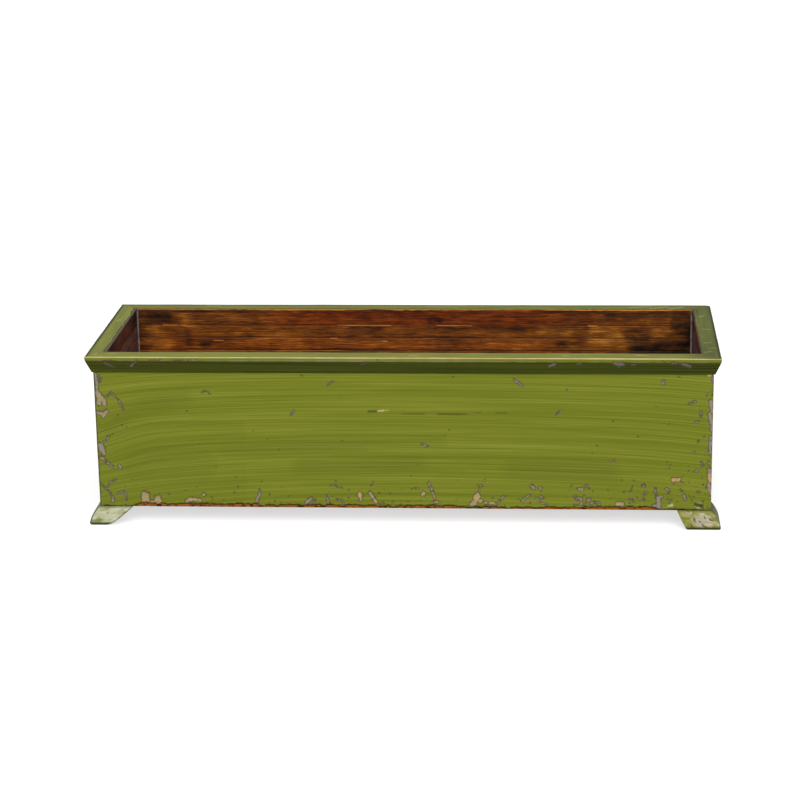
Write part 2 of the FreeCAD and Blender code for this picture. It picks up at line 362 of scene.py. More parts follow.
RIGHT_ARRIS_FLAKES = (
    mark(1.8, (850, 45), (854, 41)), mark(2.6, (850, 33), (853, 27)),
    mark(4.2, (855, 24), (857, 17)), mark(2.6, (869, 20)), mark(2.6, (873, 28), (880, 28)),
    mark(4, (883, 40)), mark(3, (885, 33)), mark(8, (890, 62), (891, 56)), mark(4, (873, 61)),
    mark(4, (878, 73), (882, 69)), mark(5, (889, 72)), mark(6, (891, 95), (891, 88)),
    mark(4, (893, 108), (893, 98)), mark(4.5, (868, 88)), mark(4, (875, 107)),
    mark(6, (890, 40), (892, 32), (893, 25)), mark(3, (844, 201)), mark(3, (822, 197), (822, 190)),
    mark(3.2, (860, 160), (869, 167)), mark(3.6, (877, 149), (877, 143)),
    mark(4, (869, 134), (873, 135)), mark(3, (884, 175)), mark(2.6, (891, 175)),
    mark(7, (890, 166), (892, 158)), mark(5, (892, 158), (892, 148)),
    mark(7, (889, 146), (891, 138), (892, 132)), mark(4, (892, 132), (893, 121)),
    mark(3, (882, 113)), mark(4, (874, 105)), mark(5, (892, 112), (891, 100)),
    mark(2.4, (893, 203), (893, 176)),
)
MIDDLE_FLAKES = (
    mark(2.4, (135, 147)), mark(1.8, (158, 174), (164, 178), (170, 173)),
    mark(3, (670, 145), (677, 149)), mark(2.8, (477, 99), (485, 95)), mark(2.2, (498, 107)),
    mark(2.2, (510, 113)), mark(2, (517, 120)), mark(2.4, (747, 76), (754, 76)),
    mark(2.6, (341, 186), (349, 193)), mark(4, (609, 196), (621, 187)), mark(3, (685, 182)),
    mark(2.6, (522, 200)), mark(2.6, (304, 202)), mark(2.4, (287, 142), (292, 148)),
    mark(2.4, (360, 103)), mark(2, (267, 89)), mark(1.8, (174, 62)), mark(2, (728, 99)),
)
PINK_FLAKES = (
    mark(7, (837, 47), (848, 47)), mark(7, (890, 54), (892, 46)), mark(3, (66, 3), (72, 4)),
)
# The sets of flakes, each with the tone of the ground that it bares
FRONT_FLAKES = (
    (LEFT_ARRIS_FLAKES, 0.35),
    (LOWER_FLAKES, 0.55),
    (LILAC_FLAKES, 0.18),
    (RIGHT_ARRIS_FLAKES, 0.05),
    (MIDDLE_FLAKES, 0.1),
    (PINK_FLAKES, 1.0),
)
# An open seam in the front wall, the gleam at its end, and grimy and rubbed places above the right foot
FRONT_DARK = (
    mark(2.6, (399, 147.8), (411, 148)), mark(0.7, (448, 144.8), (480, 144.6)),
    mark(1.5, (500, 144.2), (522, 144.2), (540, 145)), mark(0.8, (540, 145), (562, 146.4)),
    mark(0.7, (583, 146.3), (599, 146.4)), mark(6, (872, 9.5), (880, 8)),
    mark(2.2, (832, 2), (868, 1)),
)
FRONT_PALE = (
    mark(1.8, (413, 148.6), (421, 149.2)), mark(0.8, (421, 149.2), (428, 149.6)),
    mark(2, (871, 7), (878, 3.5)), mark(1.4, (873, 11.5), (880, 11)),
    mark(3.4, (833, 7), (838, 8)), mark(2.4, (886, 204), (894, 204)),
)
# Broad strokes of the front that took more of the dark glaze
FRONT_SHADES = (
    mark(56, (62, 62), (150, 64)), mark(20, (190, 84), (290, 92), (390, 96)),
    mark(16, (390, 100), (500, 104)), mark(26, (300, 62), (470, 70)),
    mark(30, (610, 62), (745, 58)), mark(24, (20, 120), (60, 150), (130, 168)),
)
# Inside of the back, in mm from its middle and down from the top of the rim: worn to pale wood, and
# painted highlights under the seams; thinly stained; and dark with stain and soot, and painted corner shade
INNER_PALE = (
    mark(3.2, (-310, 50.5), (-295, 50.5)), mark(4, (-400, 33)), mark(2.2, (-361, 26), (-352, 26.4)),
    mark(2, (-389, 25.6), (-366, 25.8)), mark(2.2, (-128, 47), (-117, 47)),
    mark(3.4, (-46, 51), (-40, 51)), mark(1.8, (28, 56), (35, 55.6)), mark(1.8, (47, 50), (53, 50)),
    mark(1.6, (-199, 59)), mark(1.7, (-116, 25.4), (-33, 25.8)), mark(1.3, (36, 25.6), (92, 25.8)),
    mark(1.8, (270, 25.8), (284, 25.8)), mark(1.8, (236, 50), (276, 50)),
    mark(1.8, (368, 50), (380, 50)), mark(1.4, (224, 54), (228, 50), (234, 50)),
)
INNER_GOLD = (
    mark(12, (-352, 15)), mark(26, (-405, 45), (-392, 58)), mark(9, (-250, 48), (-180, 49)),
    mark(10, (200, 34), (238, 36)), mark(12, (280, 33), (314, 35)), mark(14, (276, 52), (322, 54)),
    mark(10, (366, 20), (388, 21)), mark(8, (372, 34), (390, 36)), mark(8, (392, 8), (404, 14)),
    mark(8, (120, 54), (190, 55)),
)
INNER_DARK = (
    mark(14, (-422, 8), (-380, 11)), mark(4, (-350, 34), (-349, 54)), mark(8, (-426, 30)),
    mark(7, (-327, 57), (-318, 58)), mark(5, (-256, 46), (-252, 47)), mark(8, (27, 19), (42, 19)),
    mark(4, (-92, 30), (-48, 31)), mark(3.4, (38, 29), (270, 29)), mark(8, (226, 54), (234, 54)),
    mark(26, (406, 20), (430, 40)), mark(22, (345, 66), (430, 58)), mark(10, (330, 44), (360, 46)),
    mark(10, (300, 8), (420, 6)),
)
# Worn foot, in mm from its mitre and up from the floor: flakes, a pink place, rubbed places and
# chalky streaks
FOOT_FLAKES = (
    mark(2.4, (28, 12), (26, 13)), mark(2.2, (25, 7), (22, 6)), mark(2.4, (34, 13), (31, 15)),
    mark(2.2, (40, 9)), mark(2.2, (10, 16), (7, 14)), mark(1.8, (16, 17)),
)
FOOT_PINK = (mark(3.2, (21, 10), (14, 10)),)
FOOT_RUBS = (
    mark(12, (27, 11), (20, 15), (14, 11)), mark(6, (35, 13), (27, 6)), mark(5, (24, 18), (16, 22)),
)
FOOT_STREAKS = (
    mark(3.6, (15, 18), (8, 12), (3, 7)), mark(2.4, (17, 21), (9, 20)),
    mark(2.4, (40, 23), (30, 23)),
)
# Pale foot, in the same frame: places where green still shows, and a nail
PALE_FOOT_GREENS = (
    mark(6, (4, 7), (15, 7)), mark(5, (5, 7), (13, 8)), mark(4, (40, 21), (49, 20)),
    mark(2, (8, 22), (19, 21)), mark(1.6, (28, 9), (33, 9)),
)
PALE_FOOT_NAIL = (mark(2.6, (21, 18)),)
# Flakes on the front of the rim, in mm from its middle and up from its lower edge
RIM_FRONT_FLAKES = (
    mark(2.2, (-430, 21), (-420, 21)), mark(2.4, (-383, 20), (-379, 21)),
    mark(2.2, (-362, 20), (-346, 21)), mark(2.8, (-330, 20), (-312, 21)),
    mark(4, (-427, 16), (-414, 10)), mark(4.5, (-392, 10), (-382, 18)),
    mark(3, (-305, 21), (-296, 21)), mark(2.6, (-235, 17)), mark(2.6, (-148, 7)),
    mark(3, (-56, 14), (-49, 18)), mark(3, (-36, 10)), mark(3, (-32, 22)), mark(3, (29, 15)),
    mark(3, (49, 15)), mark(3, (103, 15)), mark(6, (214, 14), (222, 17)),
    mark(4, (252, 17), (260, 18)), mark(8, (306, 18), (318, 17)), mark(4, (314, 13)),
    mark(3.4, (329, 18), (334, 16)), mark(4, (374, 20)), mark(4, (386, 19), (396, 18)),
    mark(6, (403, 17), (412, 15)), mark(3, (411, 11)),
)
# Scuffs on top of each length of the rim, in mm from its middle and out from its inner face
RIM_SCUFFS = {
    Side.RIGHT: (
        mark(3, (10, 9), (8, 20)), mark(3, (-68, 8), (-64, 17)), mark(5, (84, 9), (86, 14)),
        mark(2.6, (-95, 15), (-94, 24)), mark(2.6, (-118, 6), (-112, 16)),
    ),
    Side.BACK: (
        mark(5, (-388, 2), (-414, 16)), mark(4, (-366, 8), (-392, 18)),
        mark(4, (-334, 12), (-366, 20)), mark(3.4, (-20, 20), (-60, 22)),
        mark(3, (-130, 22), (-150, 24)), mark(3.4, (300, 18), (322, 20)),
    ),
    Side.FRONT: (
        mark(3, (336, 10), (352, 11)), mark(3, (232, 14), (240, 14)),
        mark(3, (12, 16), (26, 18)), mark(3, (-424, 12), (-414, 9)),
    ),
    Side.LEFT: (mark(3, (-58, 14), (-52, 17)), mark(3, (132, 13), (142, 16))),
}
# Bare wood along the foot of the front wall, in the wall's frame
BARE_FOOT_OF_FRONT = (
    mark(7, (60, 1), (72, 3)), mark(6, (84, 1), (106, 1)), mark(4, (696, 0), (735, 0)),
    mark(4, (750, 1), (775, 0)),
)
# How far bare wood rises along the foot of the front wall, from place to place, in the wall's frame
FRONT_FOOT_LINE = (
    (46, -4.2), (62, 0.4), (480, 0.2), (560, -1.2), (680, -1.2), (700, 0.3), (800, 0.1), (830, -4.2),
)
# How uneven stain shows inside the back: soot and painted shade, thin stain, and the most that wood is
# bared, in mm
INNER_SOOT_AND_SHADE = Onset(0.85, -8.0, 6.0)
INNER_THIN = Onset(1.0, -SOFT_EDGE, 4.0)
INNER_BARED = 0.5
# How far paint is worn back from the rim's inner arris, in mm, and the greyish haze on the walls' stain
RIM_INNER_WEAR = {Side.FRONT: 0.9, Side.RIGHT: 2.0, Side.BACK: 1.6, Side.LEFT: 3.6}
WALL_HAZE = {Side.FRONT: 0.0, Side.RIGHT: 0.72, Side.BACK: 0.0, Side.LEFT: 0.5}


@dataclass(frozen=True)
class BoxSizes:
    """Main sizes of the planter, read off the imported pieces."""

    half_length: float
    half_depth: float
    wall: float
    wall_low: float
    wall_top: float
    rim_top: float
    rim_half_length: float
    slat_top: float

    @classmethod
    def from_frame(cls) -> "BoxSizes":
        """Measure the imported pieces.

        Returns:
            The sizes, in mm.
        """
        wall_low, wall_high = (np.array(corner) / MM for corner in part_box("front_wall"))
        rim_high = np.array(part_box("rim_front")[1]) / MM
        slat_high = np.array(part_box("bottom_slat_1")[1]) / MM
        return cls(
            half_length=wall_high[0],
            half_depth=-wall_low[1],
            wall=wall_high[1] - wall_low[1],
            wall_low=wall_low[2],
            wall_top=wall_high[2],
            rim_top=rim_high[2],
            rim_half_length=rim_high[0],
            slat_top=slat_high[2],
        )

    def reach(self, side: Side) -> float:
        """Distance from the middle of the box to a side's outer face."""
        return self.half_depth if side.is_long else self.half_length

    def half_span(self, side: Side) -> float:
        """Half the box's outer length along a side."""
        return self.half_length if side.is_long else self.half_depth


def spread(length: float, step: float) -> np.ndarray:
    """Places along a length, close together at both ends for rounded arrises and even between them.

    Args:
        length: The length.
        step: About how far apart the even places are.

    Returns:
        The places, from 0 to the length.
    """
    ends = np.array(EDGE_STEPS)
    count = max(1, round((length - 2 * ends[-1]) / step))
    middle = np.linspace(ends[-1], length - ends[-1], count + 1)
    return np.concatenate([ends[:-1], middle, (length - ends[:-1])[::-1]])


class Shell:
    """Closed skin of a board: places on a plain block and the faces between them.

    The block's directions are along it, through it from its inner to its outer face, and up. Rows
    of points run along the block. Those on and near the outer face have finer steps.
    """

    WRAP = 3.0

    def __init__(self, along: np.ndarray, through: np.ndarray, up: np.ndarray, finer: int = 1) -> None:
        """Lay the rows round the block, join them and close the two ends.

        Args:
            along: Places along the block, from 0 to its length.
            through: Places from the inner face, at 0, to the outer face.
            up: Places from the bottom, at 0, to the top.
            finer: How many steps of the outer rows go to one step of the others.
        """
        self.size = np.array([along[-1], through[-1], up[-1]])
        self.faces: list[tuple[int, ...]] = []
        fine = np.interp(np.arange((len(along) - 1) * finer + 1) / finer, np.arange(len(along)), along)
        columns, levels = len(through) - 1, len(up) - 1
        ring = [(columns, k) for k in range(levels + 1)]
        ring += [(j, levels) for j in range(columns - 1, 0, -1)]
        ring += [(0, k) for k in range(levels, -1, -1)]
        ring += [(j, 0) for j in range(1, columns)]
        places, rows, count = [], {}, 0
        for j, k in ring:
            run = fine if through[j] >= through[-1] - self.WRAP else along
            places.append(np.column_stack([run, np.full(len(run), through[j]), np.full(len(run), up[k])]))
            rows[j, k] = np.arange(count, count + len(run))
            count += len(run)
        for first, second in zip(ring, ring[1:] + ring[:1]):
            self._join(rows[first], rows[second])
        for end in (0, -1):
            grid = np.empty((columns + 1, levels + 1), int)
            for j, k in itertools.product(range(columns + 1), range(levels + 1)):
                if (j, k) in rows:
                    grid[j, k] = rows[j, k][end]
                else:
                    places.append(np.array([[along[end], through[j], up[k]]]))
                    grid[j, k] = count
                    count += 1
            self._cap(grid, outward=end == -1)
        self.base = np.concatenate(places)

    def _join(self, first: np.ndarray, second: np.ndarray) -> None:
        """Put faces between two neighbouring rows, which may be cut into unlike steps.

        Args:
            first: Point numbers of one row.
            second: Point numbers of the next row round the block.
        """
        segments = min(len(first), len(second)) - 1
        m, n = (len(first) - 1) // segments, (len(second) - 1) // segments
        for i in range(segments):
            there = first[i * m : (i + 1) * m + 1].tolist()
            back = second[i * n : (i + 1) * n + 1].tolist()
            self.faces.append(tuple(there + back[::-1]))

    def _cap(self, grid: np.ndarray, outward: bool) -> None:
        """Close one end with a grid of faces."""
        corners = np.stack([grid[:-1, :-1], grid[1:, :-1], grid[1:, 1:], grid[:-1, 1:]], -1).reshape(-1, 4)
        self.faces += [tuple(face[::-1] if outward else face) for face in corners.tolist()]

    def rounded(self, radius: np.ndarray | float) -> tuple[np.ndarray, np.ndarray]:
        """Round the block's arrises.

        Args:
            radius: One radius for all points, or one each.

        Returns:
            The points, and the outward direction at each.
        """
        r = np.broadcast_to(radius, len(self.base))[:, None]
        core = np.clip(self.base, r, self.size - r)
        reach = self.base - core
        outward = reach / np.linalg.norm(reach, axis=1, keepdims=True)
        return core + outward * r, outward

    def unfolded(self) -> tuple[np.ndarray, np.ndarray]:
        """Lay the outer face flat, with the faces round it folded out.

        Returns:
            Places along it and places up it, one per point.
        """
        behind = self.size[1] - self.base[:, 1]
        flat = []
        for axis in (0, 2):
            place = self.base[:, axis]
            flat.append(place - behind * (place == 0) + behind * (place == self.size[axis]))
        return flat[0], flat[1]


@dataclass
class Wear:
    """What each point of a surface shows of its making and its years, and of painted light and shade.

    Attributes:
        stroke: Places along and across the brush strokes or the grain, in mm, and a seed.
        flake: Distance inside the edge of missing paint, in mm.
        bare: Distance inside the edge of bared wood, and of painted highlights on stained arrises, in mm.
        glaze: Share of dark glazing and dirt, and of painted shade.
        rub: Share of rubbing and greyish haze, and of painted highlight and sheen, that pales the finish.
        tone: Hue of the wear and of the stain: 0 is chalky or golden, 1 is warm or red.
        thin: Share of thinly wiped stain, through which the wood glows.
    """

    stroke: np.ndarray
    flake: np.ndarray
    bare: np.ndarray
    glaze: np.ndarray
    rub: np.ndarray
    tone: np.ndarray
    thin: np.ndarray

    @classmethod
    def fresh(cls, along: np.ndarray, across: np.ndarray, seed: float) -> "Wear":
        """Unworn surface with its stroke directions set.

        Args:
            along: Places along the strokes or the grain.
            across: Places across them.
            seed: Seed of their pattern.

        Returns:
            The unworn surface.
        """
        count = len(along)
        gone = np.full(count, FAR_OUTSIDE)
        stroke = np.column_stack([along, across, np.full(count, seed)])
        none = np.zeros(count)
        return cls(stroke, gone, gone.copy(), none, none.copy(), np.full(count, 0.5), none.copy())

    def chip(self, depth: np.ndarray, tone: float) -> None:
        """Take paint off down to a ground of one tone."""
        self.tone = np.where((depth > self.flake) & (depth > -CHIP_EDGE), tone, self.tone)
        self.flake = np.maximum(self.flake, depth)

    def darken(self, share: np.ndarray) -> None:
        """Darken with glazing, dirt and painted shade where there is less than a share of it."""
        self.glaze = np.maximum(self.glaze, share)

    def pale(self, share: np.ndarray) -> None:
        """Pale by rubbing and painted highlight where there is less than a share of it."""
        self.rub = np.maximum(self.rub, share)

    def set_inside(self, inside: np.ndarray, **values: np.ndarray | float) -> None:
        """Set values on the inside of a piece.

        Args:
            inside: Which points belong to it.
            values: One value for all points, or one each, by attribute.
        """
        for name, value in values.items():
            target = getattr(self, name)
            target[inside] = np.broadcast_to(value, target.shape)[inside]

    def write(self, mesh: Mesh) -> None:
        """Store the values on a mesh, where the finishes read them.

        Args:
            mesh: The mesh that the points belong to.
        """
        stored = mesh.attributes.new("stroke", "FLOAT_VECTOR", "POINT")
        stored.data.foreach_set("vector", self.stroke.ravel())
        for name in ("flake", "bare", "glaze", "rub", "tone", "thin"):
            values = np.clip(getattr(self, name), FAR_OUTSIDE, -FAR_OUTSIDE)
            mesh.attributes.new(name, "FLOAT", "POINT").data.foreach_set("value", values)


def make_piece(
    name: str,
    points: np.ndarray,
    faces: Sequence[tuple[int, ...]],
    finishes: Sequence[Material],
    wear: Wear | None = None,
    inside: np.ndarray | None = None,
) -> Object:
    """Write a mesh piece that rides on the planter.

    Args:
        name: The piece's name.
        points: Its points in mm.
        faces: Its faces as point numbers.
        finishes: Its finish, or the outside finish and the inside one.
        wear: What its surface shows, where its finish reads that.
        inside: Which points belong to the inside finish, where it has one.

    Returns:
        The new object.
    """
    mesh = bpy.data.meshes.new(name)
    mesh.from_pydata((points * MM).tolist(), [], faces)
    for finish in finishes:
        mesh.materials.append(finish)
    if inside is not None:
        chosen = [int(inside[list(face)].mean() > 0.5) for face in faces]
        mesh.polygons.foreach_set("material_index", chosen)
    mesh.polygons.foreach_set("use_smooth", [True] * len(faces))
    if wear is not None:
        wear.write(mesh)
    mesh.update()
    piece = bpy.data.objects.new(name, mesh)
    bpy.context.collection.objects.link(piece)
    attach(piece, BODY)
    return piece


@dataclass(frozen=True)
class BrushedPaint:
    """Milk paint, laid on with a wide brush over a pale primer on fir, and flaked by use.

    Long bristle streaks run with the strokes, the film is eggshell matt, and a flake shows a dark
    broken edge, dirty and with a painted shadow of the film's edge, then the chalky primer, then
    bared fir where it goes deepest.
    """

    dark_green: str = "#646b1a"
    green: str = "#767d25"
    light_green: str = "#888f34"
    chalk: str = "#d4d7ba"
    lilac: str = "#b9aaa0"
    cream: str = "#e6c690"
    glaze: str = "#23270d"
    furrow: str = "#4d5413"
    flake_edge: str = "#4a4330"
    primer_mauve: str = "#8f857c"
    primer_grey: str = "#968a6b"
    primer_tan: str = "#b29a68"
    primer_pink: str = "#bb966c"
    fir: str = "#95591e"
    fir_dark: str = "#33200f"
    ior: float = 1.5
    mirror_share: float = 0.055
    roughness: float = 0.52
    # Noises, with their sizes along the strokes and across them. The lines that a real brush leaves
    # are about 0.3 mm wide, too fine to show, so they are drawn three times as wide or more
    noises: Noises = (
        ("streak", 300.0, 1.7),
        ("band", 420.0, 11.0),
        ("bristle", 110.0, 0.9),
        ("furrow", 330.0, 1.9),
        ("ragged", 3.2, 3.2),
        ("patch", 8.0, 8.0),
    )
    # Shares of the noises in the film's shade, then what streaks, furrows and rubbing make of it
    shade_shares: Shares = (("streak", 0.56), ("band", 0.2), ("bristle", 0.34))
    shading: Onset = Onset(1.0, 0.37, 0.73)
    furrowing: Onset = Onset(0.3, 0.4, 0.28)
    patchy_start: float = 0.2
    patchy_least: float = 0.6
    patchy_most: float = 1.4
    # Flakes: their ragged edge in mm, its dark line of dirt and painted shadow, and the primer's hue, dirt
    # and painted shade
    ragged_reach: float = 5.0
    edge_breaks: Onset = Onset(1.0, 0.36, 0.6)
    edge_line: Onset = Onset(0.6, -1.1, 0.1)
    primer_depth: float = 3.0
    primer_swing: float = 0.15
    primer_patches: float = 0.8
    primer_stops: tuple[float, ...] = (0.0, 0.45, 0.78, 1.0)
    clean_depth: float = 2.2
    clean_least: float = -0.5
    clean_most: float = 0.6
    clean_patches: float = 0.9
    primer_grime_and_shade: float = 0.78
    flaking: Onset = Onset(1.0, -0.1, 0.3)
    # Bare fir and its scorched edge
    scorching: Onset = Onset(0.92, -3.2, -1.4)
    scorch_clumps: Onset = Onset(1.0, 0.34, 0.48)
    fir_stops: tuple[float, ...] = (0.38, 0.52)
    baring: Onset = Onset(1.0, -0.2, 0.3)
    # Gloss, and the relief in mm
    gloss_swing: float = 0.1
    open_wood_dull: float = 0.38
    bristle_ridge: float = 0.14
    streak_ridge: float = 0.12
    open_wood_drop: float = 0.22

    def material(self) -> Material:
        """Build the paint's node tree.

        Returns:
            The material.
        """
        material = new_material("brushed_milk_paint_on_fir")
        tree = material.node_tree
        stroke = add(tree, "Attribute", {}, 1, attribute_name="stroke")
        stored = ("flake", "bare", "glaze", "rub", "tone")
        flake_depth, bare_depth, glaze, rub, tone = (
            add(tree, "Attribute", {}, 2, attribute_name=name) for name in stored
        )

        noise = {}
        for name, length, width in self.noises:
            stretch = (1 / length, 1 / width, 1.0)
            place = add(tree, "VectorMath", {0: stroke, 1: stretch}, operation="MULTIPLY")
            noise[name] = add(tree, "TexNoise", {"Vector": place, "Scale": 1.0, "Detail": 3.0})

        # The film, streaked and furrowed by the brush
        shade = 0.0
        for name, share in self.shade_shares:
            shade = times(tree, noise[name], share, shade)
        shade = self.shading.node(tree, shade)
        stops = ((0.0, self.dark_green), (0.5, self.green), (1.0, self.light_green))
        colour = add(tree, "ValToRGB", {"Fac": shade}, stops=stops)
        furrowed = self.furrowing.node(tree, noise["furrow"])
        colour = mix(tree, furrowed, colour, self.furrow)

        # Rubbed paint with painted highlight and sheen, then glaze, grime and painted shade
        feeds = {"Value": noise["streak"], "From Min": self.patchy_start}
        feeds |= {"To Min": self.patchy_least, "To Max": self.patchy_most}
        patchy = add(tree, "MapRange", feeds)
        rubbed = times(tree, rub, patchy, clamp=True)
        stops = ((0.0, self.chalk), (0.5, self.lilac), (1.0, self.cream))
        worn_paint = add(tree, "ValToRGB", {"Fac": tone}, stops=stops)
        colour = mix(tree, rubbed, colour, worn_paint)
        glazed = times(tree, glaze, patchy, clamp=True)
        colour = mix(tree, glazed, colour, self.glaze)

        # Flakes: a dark broken edge of dirt and painted shadow, then the primer, darkest at its rim and
        # under glaze and painted shade
        ragged = times(tree, noise["ragged"], self.ragged_reach, -self.ragged_reach / 2)
        edge = add(tree, "Math", {0: flake_depth, 1: ragged})
        broken = self.edge_breaks.node(tree, noise["patch"])
        line = times(tree, self.edge_line.node(tree, edge), broken)
        colour = mix(tree, line, colour, self.flake_edge)
        feeds = {"Value": edge, "From Max": self.primer_depth}
        feeds |= {"To Min": -self.primer_swing, "To Max": self.primer_swing}
        ground = times(tree, noise["patch"], self.primer_patches, add(tree, "MapRange", feeds))
        ground = add(tree, "Math", {0: ground, 1: tone})
        feeds = {0: ground, 1: self.primer_patches / 2}
        ground = add(tree, "Math", feeds, operation="SUBTRACT", use_clamp=True)
        hues = (self.primer_mauve, self.primer_grey, self.primer_tan, self.primer_pink)
        primer = add(tree, "ValToRGB", {"Fac": ground}, stops=zip(self.primer_stops, hues))
        feeds = {"Value": edge, "From Max": self.clean_depth}
        feeds |= {"To Min": self.clean_least, "To Max": self.clean_most}
        clean = add(tree, "MapRange", feeds)
        clean = times(tree, noise["patch"], self.clean_patches, clean, clamp=True)
        primer = mix(tree, clean, linear(self.flake_edge), primer)
        grime_and_shade = times(tree, glazed, self.primer_grime_and_shade)
        primer = mix(tree, grime_and_shade, primer, self.glaze)
        gone = self.flaking.node(tree, edge)
        colour = mix(tree, gone, colour, primer)

        # Bare fir with a scorched edge
        edge = times(tree, ragged, 0.5, bare_depth)
        clumped = self.scorch_clumps.node(tree, noise["patch"])
        scorched = times(tree, self.scorching.node(tree, edge), clumped)
        colour = mix(tree, scorched, colour, self.fir_dark)
        stops = zip(self.fir_stops, (self.fir_dark, self.fir))
        wood = add(tree, "ValToRGB", {"Fac": noise["patch"]}, stops=stops)
        raw = self.baring.node(tree, edge)
        colour = mix(tree, raw, colour, wood)

        # Gloss of the film, and the relief of its ridges and flakes
        open_wood = add(tree, "Math", {0: gone, 1: raw}, operation="MAXIMUM")
        low, high = self.roughness - self.gloss_swing, self.roughness + self.gloss_swing
        gloss = add(tree, "MapRange", {"Value": noise["streak"], "To Min": low, "To Max": high})
        rough = times(tree, open_wood, self.open_wood_dull, gloss, clamp=True)
        height = times(tree, noise["bristle"], self.bristle_ridge)
        for relief, rise in ((noise["streak"], self.streak_ridge), (open_wood, -self.open_wood_drop)):
            height = times(tree, relief, rise, height)
        normal = add(tree, "Bump", {"Height": height, "Distance": MM, "Strength": 1.0})
        feeds = {"Base Color": colour, "Roughness": rough, "IOR": self.ior, "Normal": normal}
        feeds["Specular IOR Level"] = self.mirror_share
        add(tree, "OutputMaterial", {"Surface": add(tree, "BsdfPrincipled", feeds)})
        return material


class Grain(Enum):
    """Which way a stained board's grain runs: stored on the mesh, or along an axis of the planter."""

    STORED = "stored"
    ALONG_X = "along_x"
    ALONG_Y = "along_y"


@dataclass(frozen=True)
class StainedFir:
    """Planed fir staves, wiped with a brown oil stain.

    The soft early wood drinks the stain and goes dark, the hard late wood stays orange in long thin
    lines, and the surface has a low waxy sheen.
    """

    deep: str = "#1b0d05"
    brown: str = "#4d290d"
    warm: str = "#804914"
    amber: str = "#c4862c"
    red_brown: str = "#562208"
    red_warm: str = "#8f3f0e"
    red_amber: str = "#cc6a22"
    haze: str = "#574b50"
    raw: str = "#bb7a34"
    soot_and_shade: str = "#120c0b"
    ior: float = 1.48
    mirror_share: float = 0.12
    roughness: float = 0.5
    # Noises, with their sizes along the grain and across it. The pores and late wood lines of real
    # fir are under 0.5 mm wide, too fine to show, so they are drawn 1 to 2 mm wide
    noises: Noises = (
        ("figure", 150.0, 9.0),
        ("ring", 60.0, 1.9),
        ("pore", 18.0, 1.0),
        ("blotch", 34.0, 15.0),
    )
    grain_detail: float = 5.0
    grain_roughness: float = 0.62
    # Shares of the noises in the stain's shade, its stops, and how much thin stain lights it
    shade_shares: Shares = (("figure", 0.28), ("ring", 0.55), ("pore", 0.68), ("blotch", 0.32))
    shading: Onset = Onset(1.0, 0.64, 1.21)
    stops: tuple[float, ...] = (0.0, 0.35, 0.65, 1.0)
    thin_glow: float = 0.17
    # Soot and painted shade, most where blotches are dark, and the ragged edge of raw wood and painted
    # highlights in mm
    darkening_blotches: tuple[float, float] = (0.3, 0.7)
    darkening_most: float = 1.4
    darkening_least: float = 0.5
    raw_ragged: float = 3.0
    baring: Onset = Onset(1.0, 1.4, 2.2)
    # Gloss, and the relief in mm
    gloss_below: float = 0.1
    gloss_above: float = 0.12
    pore_relief: float = 0.1
    ring_relief: float = 0.16

    def material(self, grain: Grain = Grain.STORED) -> Material:
        """Build the stain's node tree.

        Args:
            grain: Where the grain's direction comes from.

        Returns:
            The material.
        """
        material = new_material("oil_stained_fir_" + grain.value)
        tree = material.node_tree
        if grain is Grain.STORED:
            place = add(tree, "Attribute", {}, 1, attribute_name="stroke")
        else:
            object_place = add(tree, "TexCoord", {}, 3)
            place = add(tree, "VectorMath", {0: object_place, "Scale": 1 / MM}, operation="SCALE")
        stored = ("glaze", "rub", "bare", "tone", "thin")
        glaze, rub, bare, tone, thin = (
            add(tree, "Attribute", {}, 2, attribute_name=name) for name in stored
        )

        noise = {}
        for name, length, width in self.noises:
            stretch = (1 / length, 1 / width, 1.0 if grain is Grain.STORED else 1 / width)
            if grain is Grain.ALONG_Y:
                stretch = (stretch[1], stretch[0], stretch[2])
            stretched = add(tree, "VectorMath", {0: place, 1: stretch}, operation="MULTIPLY")
            feeds = {"Vector": stretched, "Scale": 1.0, "Detail": self.grain_detail}
            noise[name] = add(tree, "TexNoise", feeds | {"Roughness": self.grain_roughness})

        # The stain on early and late wood, golden or red, thin or thick
        shade = 0.0
        for name, share in self.shade_shares:
            shade = times(tree, noise[name], share, shade)
        shade = times(tree, thin, self.thin_glow, self.shading.node(tree, shade), clamp=True)
        hues = (self.deep, self.brown, self.warm, self.amber)
        golden = add(tree, "ValToRGB", {"Fac": shade}, stops=zip(self.stops, hues))
        hues = (self.deep, self.red_brown, self.red_warm, self.red_amber)
        red = add(tree, "ValToRGB", {"Fac": shade}, stops=zip(self.stops, hues))
        colour = mix(tree, tone, golden, red)

        # Greyish haze, soot and painted shade, then raw wood where worn and as painted highlights
        colour = mix(tree, rub, colour, self.haze)
        low, high = self.darkening_blotches
        feeds = {"Value": noise["blotch"], "From Min": low, "From Max": high}
        soot_and_shade_share = add(tree, "MapRange", feeds | {"To Min": self.darkening_most, "To Max": self.darkening_least})
        soot_and_shade_share = times(tree, soot_and_shade_share, glaze, clamp=True)
        colour = mix(tree, soot_and_shade_share, colour, self.soot_and_shade)
        edge = times(tree, noise["ring"], self.raw_ragged, bare)
        worn = self.baring.node(tree, edge)
        colour = mix(tree, worn, colour, self.raw)

        # A low sheen over the raised late wood
        low, high = self.roughness - self.gloss_below, self.roughness + self.gloss_above
        rough = add(tree, "MapRange", {"Value": noise["ring"], "To Min": low, "To Max": high})
        relief = times(tree, noise["pore"], self.pore_relief)
        relief = times(tree, noise["ring"], self.ring_relief, relief)
        normal = add(tree, "Bump", {"Height": relief, "Distance": MM, "Strength": 1.0})
        feeds = {"Base Color": colour, "Roughness": rough, "IOR": self.ior, "Normal": normal}
        feeds["Specular IOR Level"] = self.mirror_share
        add(tree, "OutputMaterial", {"Surface": add(tree, "BsdfPrincipled", feeds)})
        return material


